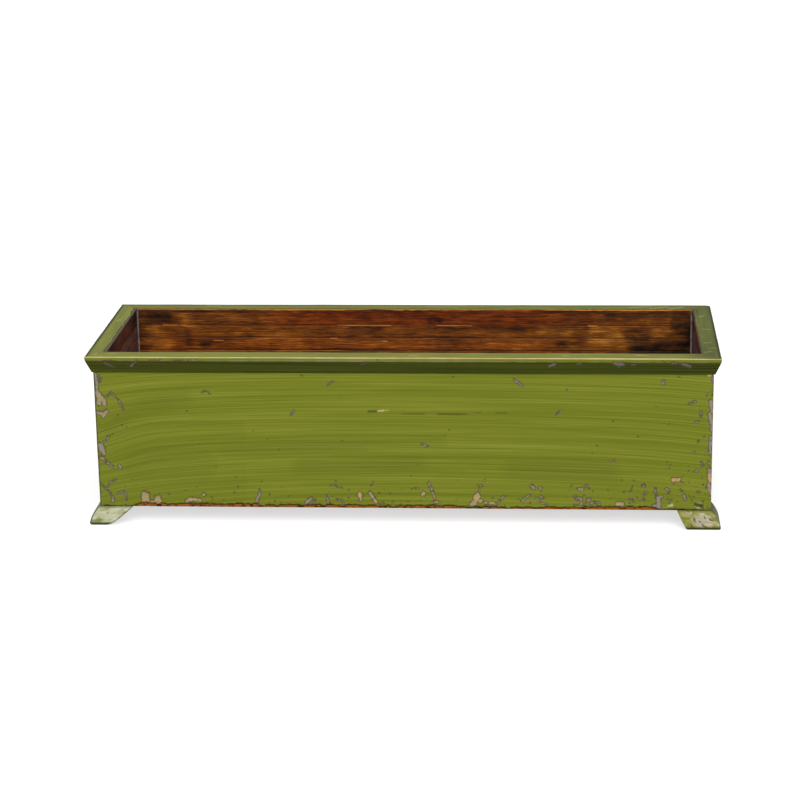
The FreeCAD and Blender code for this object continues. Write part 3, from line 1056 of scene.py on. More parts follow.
@dataclass(frozen=True)
class ZincSteel:
    """Wire-drawn steel with a thin zinc plating, which clouds to a patchy pale grey."""

    bright: str = "#b9bbbd"
    cloudy: str = "#8b8d90"
    roughness: float = 0.36
    cloud_size: float = 2.5
    cloud_stops: tuple[float, ...] = (0.35, 0.65)
    cloudy_dull: float = 0.12
    bright_gloss: float = 0.08

    def material(self) -> Material:
        """Build the plating's node tree.

        Returns:
            The material.
        """
        material = new_material("zinc_plated_drawn_steel")
        tree = material.node_tree
        place = add(tree, "TexCoord", {}, 3)
        feeds = {"Vector": place, "Scale": 1 / (self.cloud_size * MM), "Detail": 2.0}
        cloud = add(tree, "TexNoise", feeds)
        stops = zip(self.cloud_stops, (self.cloudy, self.bright))
        colour = add(tree, "ValToRGB", {"Fac": cloud}, stops=stops)
        dull, glossy = self.roughness + self.cloudy_dull, self.roughness - self.bright_gloss
        rough = add(tree, "MapRange", {"Value": cloud, "To Min": dull, "To Max": glossy})
        feeds = {"Base Color": colour, "Roughness": rough, "Metallic": 1.0}
        add(tree, "OutputMaterial", {"Surface": add(tree, "BsdfPrincipled", feeds)})
        return material


@dataclass(frozen=True)
class TooledSealant:
    """Acrylic sealant, wiped into the corners with a finger: pale grey, matt, a little dusty."""

    pale: str = "#8f8684"
    dirty: str = "#3f3837"
    ior: float = 1.46
    roughness: float = 0.6
    smear_size: float = 9.0
    smear_stops: tuple[float, ...] = (0.3, 0.6)
    smear_relief: float = 0.3

    def material(self) -> Material:
        """Build the sealant's node tree.

        Returns:
            The material.
        """
        material = new_material("tooled_acrylic_sealant")
        tree = material.node_tree
        place = add(tree, "TexCoord", {}, 3)
        feeds = {"Vector": place, "Scale": 1 / (self.smear_size * MM), "Detail": 3.0}
        smear = add(tree, "TexNoise", feeds)
        stops = zip(self.smear_stops, (self.dirty, self.pale))
        colour = add(tree, "ValToRGB", {"Fac": smear}, stops=stops)
        feeds = {"Height": smear, "Distance": self.smear_relief * MM, "Strength": 1.0}
        normal = add(tree, "Bump", feeds)
        feeds = {"Base Color": colour, "Roughness": self.roughness, "IOR": self.ior, "Normal": normal}
        add(tree, "OutputMaterial", {"Surface": add(tree, "BsdfPrincipled", feeds)})
        return material


@dataclass
class Finishes:
    """The materials that the pieces share."""

    paint: Material = field(default_factory=lambda: BrushedPaint().material())
    stain: Material = field(default_factory=lambda: StainedFir().material())
    stain_along_x: Material = field(default_factory=lambda: StainedFir().material(Grain.ALONG_X))
    stain_along_y: Material = field(default_factory=lambda: StainedFir().material(Grain.ALONG_Y))
    zinc: Material = field(default_factory=lambda: ZincSteel().material())
    sealant: Material = field(default_factory=lambda: TooledSealant().material())


def stain_marks(x: np.ndarray, drop: np.ndarray) -> tuple[np.ndarray, np.ndarray, np.ndarray]:
    """Uneven stain on the inside of the back.

    Args:
        x: Places to the right of its middle.
        drop: Places down from the top of the rim.

    Returns:
        Depth into bared wood and painted highlights, shares of sooty stain and painted shade, and of thin
        stain.
    """
    bare = deepest(INNER_PALE, x, drop).clip(NOT_WORN, INNER_BARED)
    soot_and_shade = INNER_SOOT_AND_SHADE.at(deepest(INNER_DARK, x, drop))
    return bare, soot_and_shade, INNER_THIN.at(deepest(INNER_GOLD, x, drop))


class Draw(IntEnum):
    """What a seeded draw is for: added to a piece's seed, so that its draws differ."""

    GUESSED_FLAKES = 7
    STAVES = 40
    RIGHT_SPECKS = 60
    SCATTER = 90


@dataclass(frozen=True)
class Scatter:
    """How seeded flakes lie on a painted face: most near its foot and its upright arrises.

    Joints is one more than the most bends of a flake, and runs are the least and the greatest
    distance between its bends.
    """

    count: int
    widths: tuple[float, ...] = (2.4, 3, 4, 5, 7)
    joints: int = 4
    foot_share: float = 0.62
    foot_or_arris_share: float = 0.92
    mean_rise: float = 14.0
    mean_inset: float = 10.0
    turn_spread: float = 0.7
    runs: tuple[float, float] = (3.0, 10.0)

    def flakes(self, length: float, height: float, seed: int) -> list[Mark]:
        """Draw the flakes of one face.

        Args:
            length: Length of the face.
            height: Height of the face.
            seed: Seed of the draw.

        Returns:
            The flakes, in mm from the face's lower left corner.
        """
        rng = np.random.default_rng(seed + Draw.SCATTER)
        flakes = []
        for _ in range(self.count):
            where = rng.uniform()
            if where < self.foot_share:
                start = np.array([rng.uniform(0, length), rng.exponential(self.mean_rise)])
            elif where < self.foot_or_arris_share:
                inset = rng.exponential(self.mean_inset)
                start = np.array([inset if rng.uniform() < 0.5 else length - inset, rng.uniform(0, height)])
            else:
                start = rng.uniform((0, 0), (length, height))
            places = [tuple(start)]
            heading = rng.uniform(0, 2 * math.pi)
            for _ in range(rng.integers(0, self.joints)):
                heading += rng.normal(0, self.turn_spread)
                start = start + rng.uniform(*self.runs) * np.array([math.cos(heading), math.sin(heading)])
                places.append(tuple(start))
            flakes.append(mark(rng.choice(self.widths), *places))
        return flakes


@dataclass
class BoxWalls:
    """The four walls: staves glued edge to edge, painted outside and stained inside."""

    sizes: BoxSizes
    finishes: Finishes
    stave: float = 18.7
    back_stave: float = 20.2
    seam_half: float = 0.6
    seam_depth: float = 0.6
    rows_per_stave: int = 9
    step: float = 1.45
    finer: int = 6
    plain_step: float = 2.8
    depth_step: float = 3.0
    arris: float = 0.9
    arris_wear: float = 0.5
    arris_patch: float = 22.0
    bow: float = 0.15
    bow_patch: Triple = (160.0, 50.0, 90.0)
    flake_recess: Onset = Onset(0.25, 0.0, 1.2)
    least_foot_stave: float = 0.25
    inner_slope: float = 0.3
    paint_lap: float = 2.0
    first_seed: int = 1
    # Paint: bare wood along the foot, the arch of the strokes, flakes, specks, dirt and painted shade
    foot_line: Pairs = ((46.0, -4.2), (62.0, 1.0))
    bare_foot: float = 3.7
    bare_waver: Pairs = ((0.8, 37.0), (1.1, 9.0))
    arch_middle: float = 0.48
    arch_length: float = 900.0
    arch_top: float = 8.0
    arch_foot: float = 18.0
    arch_ends: float = 12.0
    arch_right: float = 0.45
    left_arch: Onset = Onset(10.0, 90.0, 0.0)
    left_arch_foot: Onset = Onset(1.0, 30.0, 75.0)
    left_arch_top: Onset = Onset(1.0, 150.0, 105.0)
    flake_growth: float = 0.2
    guessed_tone: float = 0.4
    guessed_flakes: int = 20
    guessed_flakes_per_mm: float = 0.1
    speck_tone: float = 0.1
    speck_widths: tuple[float, ...] = (1.4, 1.8, 2.2)
    specks_per_mm: float = 0.16
    right_specks: int = 60
    right_speck_inset: float = 60.0
    right_speck_rise: float = 34.0
    right_speck_widths: tuple[float, float] = (1.4, 2.6)
    shade: Onset = Onset(0.14, -SOFT_EDGE, SOFT_EDGE)
    seam_dirt: Onset = Onset(0.85, -1.0, 1.0)
    gleam: Onset = Onset(0.78, -0.4, 0.6)
    left_arris_shade: Onset = Onset(0.9, 2.8, 0.6)
    # Stain: grain and hue of the staves, soot, painted shade in the corners, and painted highlights on
    # their arrises
    most_staves: int = 20
    grain_shift: float = 900.0
    reddest: float = 0.4
    golden_right: Onset = Onset(0.8, 130.0, 280.0)
    seam_soot: Onset = Onset(0.8, 0.9, 0.2)
    corner_shade: Onset = Onset(0.75, 70.0, 5.0)
    stave_arris: float = 0.9
    arris_rub: Onset = Onset(1.0, 1.1, 0.3)
    rub_depth: float = 1.5
    rub_uneven: float = 1.1
    rub_patch: Triple = (70.0, 40.0, 19.0)
    # Pulls and sizes of the marks' raggedness, and steps between the seeds of patterns
    ragged: Pairs = ((1.4, 6.5), (0.7, 3.1))
    seed_step: float = 7.3
    stave_seed_step: float = 3.7

    def build(self) -> list[Object]:
        """Make all four walls.

        Returns:
            The walls.
        """
        names = {
            Side.FRONT: "front_wall",
            Side.RIGHT: "right_end_wall",
            Side.BACK: "back_wall",
            Side.LEFT: "left_end_wall",
        }
        named = enumerate(names.items(), self.first_seed)
        return [self.wall(side, name, seed) for seed, (side, name) in named]

    def stave_of(self, side: Side) -> float:
        """Width of a side's staves."""
        return self.back_stave if side is Side.BACK else self.stave

    def levels(self, stave: float) -> np.ndarray:
        """Heights of the rows: three at each seam, even between the seams, close at the arrises.

        Args:
            stave: Width of the staves.

        Returns:
            The heights, up from the wall's foot.
        """
        height = self.sizes.wall_top - self.sizes.wall_low
        *arris, inset = np.array(EDGE_STEPS)
        seams = np.arange(height - stave, self.least_foot_stave * stave, -stave)[::-1]
        turns = np.concatenate([[inset], seams, [height - inset]])
        rows = [np.array(arris), height - np.array(arris), seams]
        for low, high in zip(turns[:-1], turns[1:]):
            low_end = low + (self.seam_half if low in seams else 0)
            high_end = high - (self.seam_half if high in seams else 0)
            count = max(2, round((high_end - low_end) / stave * self.rows_per_stave) + 1)
            rows.append(np.linspace(low_end, high_end, count))
        return np.unique(np.concatenate(rows).round(4))

    def wall(self, side: Side, name: str, seed: int) -> Object:
        """Make one wall.

        Args:
            side: Which side of the box it closes.
            name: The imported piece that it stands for.
            seed: Seed of its grain and its wear.

        Returns:
            The wall's object.
        """
        sizes = self.sizes
        length = 2 * sizes.half_span(side) - (0 if side.is_long else 2 * sizes.wall)
        stave = self.stave_of(side)
        finer = self.finer if side is Side.FRONT else 1
        coarse = spread(length, self.step * finer if side is Side.FRONT else self.plain_step)
        shell = Shell(coarse, spread(sizes.wall, self.depth_step), self.levels(stave), finer)
        noise = Wander(seed)
        radius = self.arris + self.arris_wear * noise(shell.base, self.arris_patch)
        points, outward = shell.rounded(radius)
        on_top = (outward[:, 2] > self.inner_slope) & (shell.base[:, 1] < sizes.wall - self.paint_lap)
        inside = (outward[:, 1] < -self.inner_slope) | on_top
        wear = self.outer_wear(side, shell, noise, seed)
        self.stain_inside(wear, side, shell, inside, noise, seed)

        lift = self.bow * noise(shell.base, self.bow_patch)
        lift -= self.flake_recess.at(wear.flake) * ~inside
        height = sizes.wall_top - sizes.wall_low
        up = shell.base[:, 2]
        from_seam = np.abs((height - up + stave / 2) % stave - stave / 2)
        in_seam = inside & (up < height - stave / 2) & (up > self.least_foot_stave * stave)
        lift -= self.seam_depth * np.clip(1 - from_seam / self.seam_half, 0, 1) * in_seam
        points = points + outward * lift[:, None]

        s = points[:, 0] - length / 2
        o = sizes.reach(side) - sizes.wall + points[:, 1]
        world = side.place(s, o, points[:, 2] + sizes.wall_low)
        finishes = [self.finishes.paint, self.finishes.stain]
        piece = make_piece(name + "_boards", world, shell.faces, finishes, wear, inside)
        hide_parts(name)
        return piece

    def arch(self, side: Side, u: np.ndarray, v: np.ndarray, length: float, height: float) -> np.ndarray:
        """How far the brush strokes hang down from level, most at the ends of the face.

        Args:
            side: Which side of the box the face is on.
            u: Places along the face.
            v: Places up the face.
            length: Length of the face.
            height: Height of the face.

        Returns:
            One distance per place.
        """
        t = (u - self.arch_middle * length) / (length / 2)
        low = np.clip(1 - v / height, 0, 1)
        hang = (self.arch_top + self.arch_foot * low) * t**2 + self.arch_ends * t**6
        hang *= np.where(t < 0, 1.0, self.arch_right) * length / self.arch_length
        if side is Side.FRONT:
            hang += self.left_arch.at(u) * self.left_arch_foot.at(v) * self.left_arch_top.at(v)
        return hang

    def outer_wear(self, side: Side, shell: Shell, noise: Wander, seed: int) -> Wear:
        """Brush strokes, flakes, dirt, painted shade and bared edges of a wall's painted faces.

        Args:
            side: Which side of the box the wall closes.
            shell: The wall's skin.
            noise: The wall's noise.
            seed: Seed of its strokes and flakes.

        Returns:
            The wear, as if the whole skin were painted.
        """
        length, _, height = shell.size
        u, v = shell.unfolded()
        wear = Wear.fresh(u, v + self.arch(side, u, v, length, height), seed * self.seed_step)
        flat = np.column_stack([u, v, np.zeros(len(u))])
        pull_u, pull_v = torn(flat, noise, self.ragged)
        u_torn, v_torn = u + pull_u, v + pull_v
        if side is Side.FRONT:
            for marks, tone in FRONT_FLAKES:
                wear.chip(deepest(marks, u_torn, v_torn) + self.flake_growth, tone)
            wear.bare = deepest(BARE_FOOT_OF_FRONT, u_torn, v_torn)
            wear.darken(self.shade.at(deepest(FRONT_SHADES, u, v)))
            wear.darken(self.seam_dirt.at(deepest(FRONT_DARK, u, v)))
            gleam = self.gleam.at(deepest(FRONT_PALE, u, v))
            wear.tone = np.where(gleam > 0, CREAM_TONE, wear.tone)
            wear.pale(gleam)
            # Painted shade along the rounded left arris
            wear.darken(self.left_arris_shade.at(np.abs(u)))
            rise = np.interp(u, *zip(*FRONT_FOOT_LINE))
        else:
            count = int(length * self.guessed_flakes_per_mm) + self.guessed_flakes
            flakes = Scatter(count).flakes(length, height, seed + Draw.GUESSED_FLAKES)
            wear.chip(deepest(flakes, u_torn, v_torn), self.guessed_tone)
            from_corner = np.minimum(u, length - u) + (0 if side.is_long else self.sizes.wall)
            rise = np.interp(from_corner, *zip(*self.foot_line))
        count = int(length * self.specks_per_mm)
        specks = Scatter(count, self.speck_widths, joints=1).flakes(length, height, seed)
        if side is Side.FRONT:
            rng, count = np.random.default_rng(seed + Draw.RIGHT_SPECKS), self.right_specks
            insets = rng.exponential(self.right_speck_inset, count)
            levels = rng.exponential(self.right_speck_rise, count)
            widths = rng.uniform(*self.right_speck_widths, count)
            drawn = zip(widths, length - insets, levels)
            specks += [mark(width, (place, level)) for width, place, level in drawn]
        wear.chip(deepest(specks, u_torn, v_torn), self.speck_tone)
        rise = rise + self.bare_foot + waver(flat * (1, 0, 0), noise, self.bare_waver)
        wear.bare = np.maximum(wear.bare, rise - v)
        return wear

    def stain_inside(
        self, wear: Wear, side: Side, shell: Shell, inside: np.ndarray, noise: Wander, seed: int
    ) -> None:
        """Set the grain, darkening, painted corner shade, worn places and painted arris highlights of a
        wall's stained staves.

        Args:
            wear: The wall's wear, which is changed.
            side: Which side of the box the wall closes.
            shell: The wall's skin.
            inside: Which points are stained.
            noise: The wall's noise.
            seed: Seed of its grain.
        """
        length, _, height = shell.size
        width = self.stave_of(side)
        below = height - shell.base[:, 2]
        stave = np.floor(below / width).astype(int)
        rng = np.random.default_rng(seed + Draw.STAVES)
        shift = rng.uniform(0, self.grain_shift, self.most_staves)[stave]
        hue = rng.uniform(0, self.reddest, self.most_staves)[stave]
        pattern = seed * self.seed_step + stave * self.stave_seed_step
        grain = np.column_stack([shell.base[:, 0] + shift, shell.base[:, 2], pattern])
        under = below % width
        from_seam = np.minimum(under, width - under)
        from_end = np.minimum(shell.base[:, 0], length - shell.base[:, 0])
        soot_and_shade = self.seam_soot.at(from_seam)
        worn = np.full(len(under), NOT_WORN)
        thin = 0.0
        if side.is_long:
            # Painted shade towards the inner corners
            soot_and_shade = np.maximum(soot_and_shade, self.corner_shade.at(from_end))
            # Painted highlights: raw colour along the top arris of each stave, just below its seam
            uneven = self.rub_depth + self.rub_uneven * noise(shell.base, self.rub_patch)
            worn += uneven * self.arris_rub.at(np.abs(under - self.stave_arris))
        if side is Side.BACK:
            drop = below + self.sizes.rim_top - self.sizes.wall_top
            x = length / 2 - shell.base[:, 0]
            bare, dark, thin = stain_marks(x, drop)
            worn, soot_and_shade = np.maximum(worn, bare), np.maximum(soot_and_shade, dark)
            hue = hue * (1 - self.golden_right.at(x))
        wear.set_inside(
            inside,
            stroke=grain,
            flake=FAR_OUTSIDE,
            bare=worn,
            glaze=soot_and_shade,
            rub=WALL_HAZE[side],
            tone=hue,
            thin=thin,
        )


@dataclass
class RimFrame:
    """The rim: four lengths of bevelled moulding, mitred round the wall tops."""

    sizes: BoxSizes
    finishes: Finishes
    lip: float = 5.5
    soffit: float = 2.0
    step: float = 1.8
    section_step: float = 1.5
    arris: float = 1.1
    arris_wear: float = 0.5
    arris_patch: float = 24.0
    mitre_arris: float = 0.2
    mitre_widens: float = 0.6
    corner_round: float = 1.4
    worn_corner_round: float = 7.0
    corner_inset: float = 4.0
    bow: float = 0.2
    bow_patch: Triple = (120.0, 20.0, 20.0)
    bow_from_end: Onset = Onset(1.0, 2.0, 30.0)
    crease: float = 0.8
    inner_slope: float = 0.6
    under_slope: float = 0.3
    top_slope: Onset = Onset(1.0, 0.5, 0.9)
    bevel_slope: Onset = Onset(1.0, 0.6, 0.9)
    below_lip: Onset = Onset(1.0, -0.6, 0.6)
    first_seed: int = 11
    # Paint: dirt, painted sheen, scuffs, rubbed arrises with a painted highlight, glaze, painted shade and
    # flakes
    top_dirt: float = 0.04
    top_sheen: float = 0.04
    right_dirt: float = 0.58
    back_dirt: float = 0.22
    dirt_fade: float = 60.0
    dark_edge: float = 6.5
    back_dark_edge: float = 8.0
    ragged: Pairs = ((1.4, 6.5), (0.6, 3.1))
    seed_step: float = 5.1
    guessed_flakes: int = 24
    guessed_widths: tuple[float, ...] = (2.4, 3, 4, 5)
    patch_size: float = 60.0
    fine_size: float = 9.0
    patch_dirt: float = 0.08
    streak_dirt: float = 0.12
    streak_patch: Triple = (34.0, 6.0, 9.0)
    long_streak_patch: Triple = (90.0, 9.0, 9.0)
    scuff: Onset = Onset(1.0, -1.0, 0.8)
    scuff_cleans: float = 0.6
    scuff_pales: float = 0.42
    inner_wear: Uneven = Uneven(1.0, 0.4, 0.3)
    inner_wear_reach: float = 6.0
    cream_reach: float = 4.0
    top_rub: Uneven = Uneven(0.86, 0.14, 0.14)
    top_arris_rub: Onset = Onset(1.0, 1.5, 0.6)
    low_rub: Uneven = Uneven(0.04, 0.15, 0.25)
    low_arris_rub: Onset = Onset(1.0, 1.4, 0.4)
    low_rub_middle: float = -60.0
    low_rub_spread: Onset = Onset(0.45, 330.0, 140.0)
    edge_shade: float = 0.95
    full_edge_share: float = 0.4
    bevel_glaze: float = 0.85
    lip_tone: float = 0.5
    bevel_tone: float = 0.05
    chip_cleans: Onset = Onset(0.32, -0.2, 0.6)
    end_arris_growth: float = 0.3
    end_arris_tone: float = 0.1
    end_arris_dirt: Onset = Onset(0.9, -0.6, 0.6)
    # Stain: soot, painted shade towards the corners, a darker band below the top, and the red middle of
    # each length
    long_soot: float = 0.2
    short_soot: float = 0.5
    corner_shade: Onset = Onset(0.35, 90.0, 30.0)
    band_drop: float = 4.5
    dark_band: Onset = Onset(0.5, 4.0, 1.0)
    arris_soot: Onset = Onset(1.0, 0.6, 2.0)
    stain_keeps: float = 0.1
    least_red: float = 0.2
    red_middle: Onset = Onset(0.75, 300.0, 140.0)
    end_haze: float = 0.3

    def build(self) -> list[Object]:
        """Make all four lengths.

        Returns:
            The lengths.
        """
        names = {
            Side.FRONT: "rim_front",
            Side.RIGHT: "rim_right",
            Side.BACK: "rim_back",
            Side.LEFT: "rim_left",
        }
        named = enumerate(names.items(), self.first_seed)
        return [self.moulding(side, name, seed) for seed, (side, name) in named]

    @property
    def width(self) -> float:
        """Width of the rim's top."""
        return self.sizes.rim_half_length - self.sizes.half_length + self.sizes.wall

    @property
    def height(self) -> float:
        """Height of the rim."""
        return self.sizes.rim_top - self.sizes.wall_top

    def outline(self, z: np.ndarray) -> np.ndarray:
        """Section of the moulding, softened at the crease.

        Args:
            z: Heights above its underside.

        Returns:
            Distance from the inner face to the outer one at each height.
        """
        bevel_height = self.height - self.lip
        bevel_out = self.width - self.sizes.wall - self.soffit
        below = self.crease * np.logaddexp(0, (bevel_height - z) / self.crease)
        return self.width - bevel_out * below / bevel_height

    def moulding(self, side: Side, name: str, seed: int) -> Object:
        """Make one mitred length.

        Args:
            side: Which side of the box it tops.
            name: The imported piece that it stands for.
            seed: Seed of its wear.

        Returns:
            The length's object.
        """
        sizes = self.sizes
        half_open = sizes.half_span(side) - sizes.wall
        inner = sizes.reach(side) - sizes.wall
        length = 2 * (half_open + self.width)
        along = spread(length, self.step)
        shell = Shell(along, spread(self.width, self.section_step), spread(self.height, self.section_step))
        noise = Wander(seed)
        ends = np.minimum(shell.base[:, 0], length - shell.base[:, 0])
        worn = self.arris + self.arris_wear * noise(shell.base, self.arris_patch)
        radius = np.minimum(worn, self.mitre_arris + self.mitre_widens * ends)
        points, outward = shell.rounded(radius)
        underneath = (outward[:, 2] < -self.under_slope) & (shell.base[:, 1] < sizes.wall)
        inside = (outward[:, 1] < -self.inner_slope) | underneath
        lift = self.bow * noise(shell.base, self.bow_patch) * self.bow_from_end.at(ends)
        points = points + outward * lift[:, None]

        z = points[:, 2]
        through = points[:, 1] * self.outline(z) / self.width
        s = (points[:, 0] / length - 0.5) * 2 * (half_open + through)
        world = side.place(s, inner + through, z + sizes.wall_top)
        world = self.soft_corners(world, through)
        wear = self.wear(side, shell, s, outward, noise, seed)
        self.stain_inside(wear, side, shell, s, ends, inside)
        finishes = [self.finishes.paint, self.finishes.stain]
        piece = make_piece(name + "_moulding", world, shell.faces, finishes, wear, inside)
        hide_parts(name)
        return piece

    def stain_inside(
        self, wear: Wear, side: Side, shell: Shell, s: np.ndarray, ends: np.ndarray, inside: np.ndarray
    ) -> None:
        """Set the darkening, painted corner shade, greyish haze and worn arris of a length's stained inner
        face.

        Args:
            wear: The length's wear, which is changed.
            side: Which side of the box it tops.
            shell: Its skin.
            s: Places along it.
            ends: Distances to its nearer end.
            inside: Which points are stained.
        """
        drop = self.height - shell.base[:, 2]
        arris = np.hypot(shell.base[:, 1], drop)
        # Soot, painted shade towards the corners, and a darker band just below the top
        soot_and_shade = (self.long_soot if side.is_long else self.short_soot) + self.corner_shade.at(ends)
        soot_and_shade = np.maximum(soot_and_shade, self.dark_band.at(np.abs(drop - self.band_drop)))
        worn = np.full(len(drop), NOT_WORN)
        thin = 0.0
        if side is Side.BACK:
            bare, dark, thin = stain_marks(-s, drop)
            worn = np.maximum(bare, wear.bare - self.stain_keeps)
            soot_and_shade = np.maximum(soot_and_shade, dark) * self.arris_soot.at(arris)
        hue = self.least_red + self.red_middle.at(np.abs(s))
        haze = 0.0 if side.is_long else self.end_haze
        wear.set_inside(inside, flake=FAR_OUTSIDE, bare=worn, glaze=soot_and_shade, rub=haze, tone=hue, thin=thin)

    def soft_corners(self, world: np.ndarray, through: np.ndarray) -> np.ndarray:
        """Round the rim's outer corners in plan, alike on both lengths that meet there.

        Args:
            world: Points of one length, which are changed.
            through: Their distances from its inner face.

        Returns:
            The points.
        """
        sizes = self.sizes
        out = through[:, None] - sizes.wall
        knocked = np.all(world[:, :2] > 0, axis=1, keepdims=True)
        radius = np.where(knocked, self.worn_corner_round, self.corner_round)
        limit = np.array([sizes.half_length, sizes.half_depth]) + out - radius
        plan = np.abs(world[:, :2])
        past = np.clip(plan - limit, 0, None)
        reach = np.linalg.norm(past, axis=1, keepdims=True)
        corner = np.all(past > 0, axis=1, keepdims=True) & (reach > radius) & (out > -self.corner_inset)
        pulled = np.clip(plan, None, limit) + past * radius / np.maximum(reach, TOUCHING)
        world[:, :2] = np.where(corner, pulled, plan) * np.sign(world[:, :2])
        return world

    def wear(
        self,
        side: Side,
        shell: Shell,
        s: np.ndarray,
        outward: np.ndarray,
        noise: Wander,
        seed: int,
    ) -> Wear:
        """Strokes, dirt, painted sheen, highlight and shade, rubbed arrises, glazing and flakes of one
        length.

        Args:
            side: Which side of the box it tops.
            shell: Its skin.
            s: Places along it.
            outward: Outward direction at each point.
            noise: Its noise.
            seed: Seed of its strokes and flakes.

        Returns:
            The wear, as if the whole skin were painted.
        """
        across, up = shell.base[:, 1], shell.base[:, 2]
        wear = Wear.fresh(s, up + across, seed * self.seed_step)
        run = np.column_stack([s, np.zeros(len(s)), np.zeros(len(s))])
        patch, fine = noise(run, self.patch_size), noise(run, self.fine_size)
        top_arris = np.hypot(across - self.width, up - self.height)
        inner_arris = np.hypot(across, up - self.height)
        lip_foot = self.height - self.lip
        low_arris = np.where(across < self.width, -FAR_OUTSIDE, np.abs(up - lip_foot))
        on_top = self.top_slope.at(outward[:, 2])
        on_bevel = self.bevel_slope.at(outward[:, 1]) * self.below_lip.at(lip_foot - up)
        dirt = noise(np.column_stack([s, across, up]), self.streak_patch)
        dirt += noise(run + across[:, None], self.long_streak_patch)
        amount = {Side.RIGHT: self.right_dirt, Side.BACK: self.back_dirt}.get(side, self.top_dirt)
        x = s * side.along[0]
        at_right = ease(x, self.sizes.half_length - self.dirt_fade, self.sizes.half_length)
        amount = amount + (self.right_dirt - amount) * at_right
        amount = amount + self.patch_dirt * patch + self.streak_dirt * dirt
        wear.darken(amount.clip(0) * on_top)
        scuffed = self.scuff.at(deepest(RIM_SCUFFS[side], s, across)) * on_top
        wear.glaze *= 1 - self.scuff_cleans * scuffed
        wear.pale(self.scuff_pales * scuffed)
        if side in (Side.FRONT, Side.LEFT):
            # Painted sheen: the top of the front and left lengths is paled towards cream
            wear.pale(self.top_sheen * on_top)
            wear.tone = np.where(on_top > 0.5, CREAM_TONE, wear.tone)
        flat = np.column_stack([s, across + up, np.zeros(len(s))])
        pull_s, pull_up = torn(flat, noise, self.ragged)
        s_torn, up_torn = s + pull_s, up + pull_up
        worn_in = RIM_INNER_WEAR[side] * self.inner_wear.over(patch, fine) - inner_arris
        worn_in = np.where(inner_arris < self.inner_wear_reach, worn_in, FAR_OUTSIDE)
        if side is Side.FRONT:
            # Rubbed paint and a painted highlight along the top's outer arris
            wear.pale(self.top_rub.over(patch, fine) * self.top_arris_rub.at(top_arris))
            rubbed = self.low_rub.over(patch, fine)
            rubbed += self.low_rub_spread.at(np.abs(s - self.low_rub_middle))
            wear.pale(rubbed * self.low_arris_rub.at(low_arris))
            chips = deepest(RIM_FRONT_FLAKES, s_torn, up_torn)
        else:
            # Painted shade along the outer top arris
            edge = self.back_dark_edge if side is Side.BACK else self.dark_edge
            wear.darken(Onset(self.edge_shade, edge, self.full_edge_share * edge).at(top_arris))
            span = s.max() - s.min()
            flakes = Scatter(self.guessed_flakes, self.guessed_widths).flakes(span, self.height, seed)
            chips = deepest(flakes, s_torn - s.min(), up_torn)
        # Painted shade on the bevel, which faces down and out
        wear.darken(self.bevel_glaze * on_bevel)
        on_face = across > self.width - TOUCHING
        on_lip = up > lip_foot
        wear.chip(np.where(on_face & on_lip, chips, FAR_OUTSIDE), self.lip_tone)
        wear.chip(np.where(on_face & ~on_lip, chips, FAR_OUTSIDE), self.bevel_tone)
        wear.glaze *= 1 - self.chip_cleans.at(chips) * on_face
        if side is Side.BACK:
            wear.bare = np.maximum(wear.bare, worn_in)
        elif side is Side.FRONT:
            wear.tone = np.where(top_arris < self.cream_reach, CREAM_TONE, wear.tone)
        else:
            wear.chip(worn_in + self.end_arris_growth, self.end_arris_tone)
            wear.darken(self.end_arris_dirt.at(worn_in))
        return wear


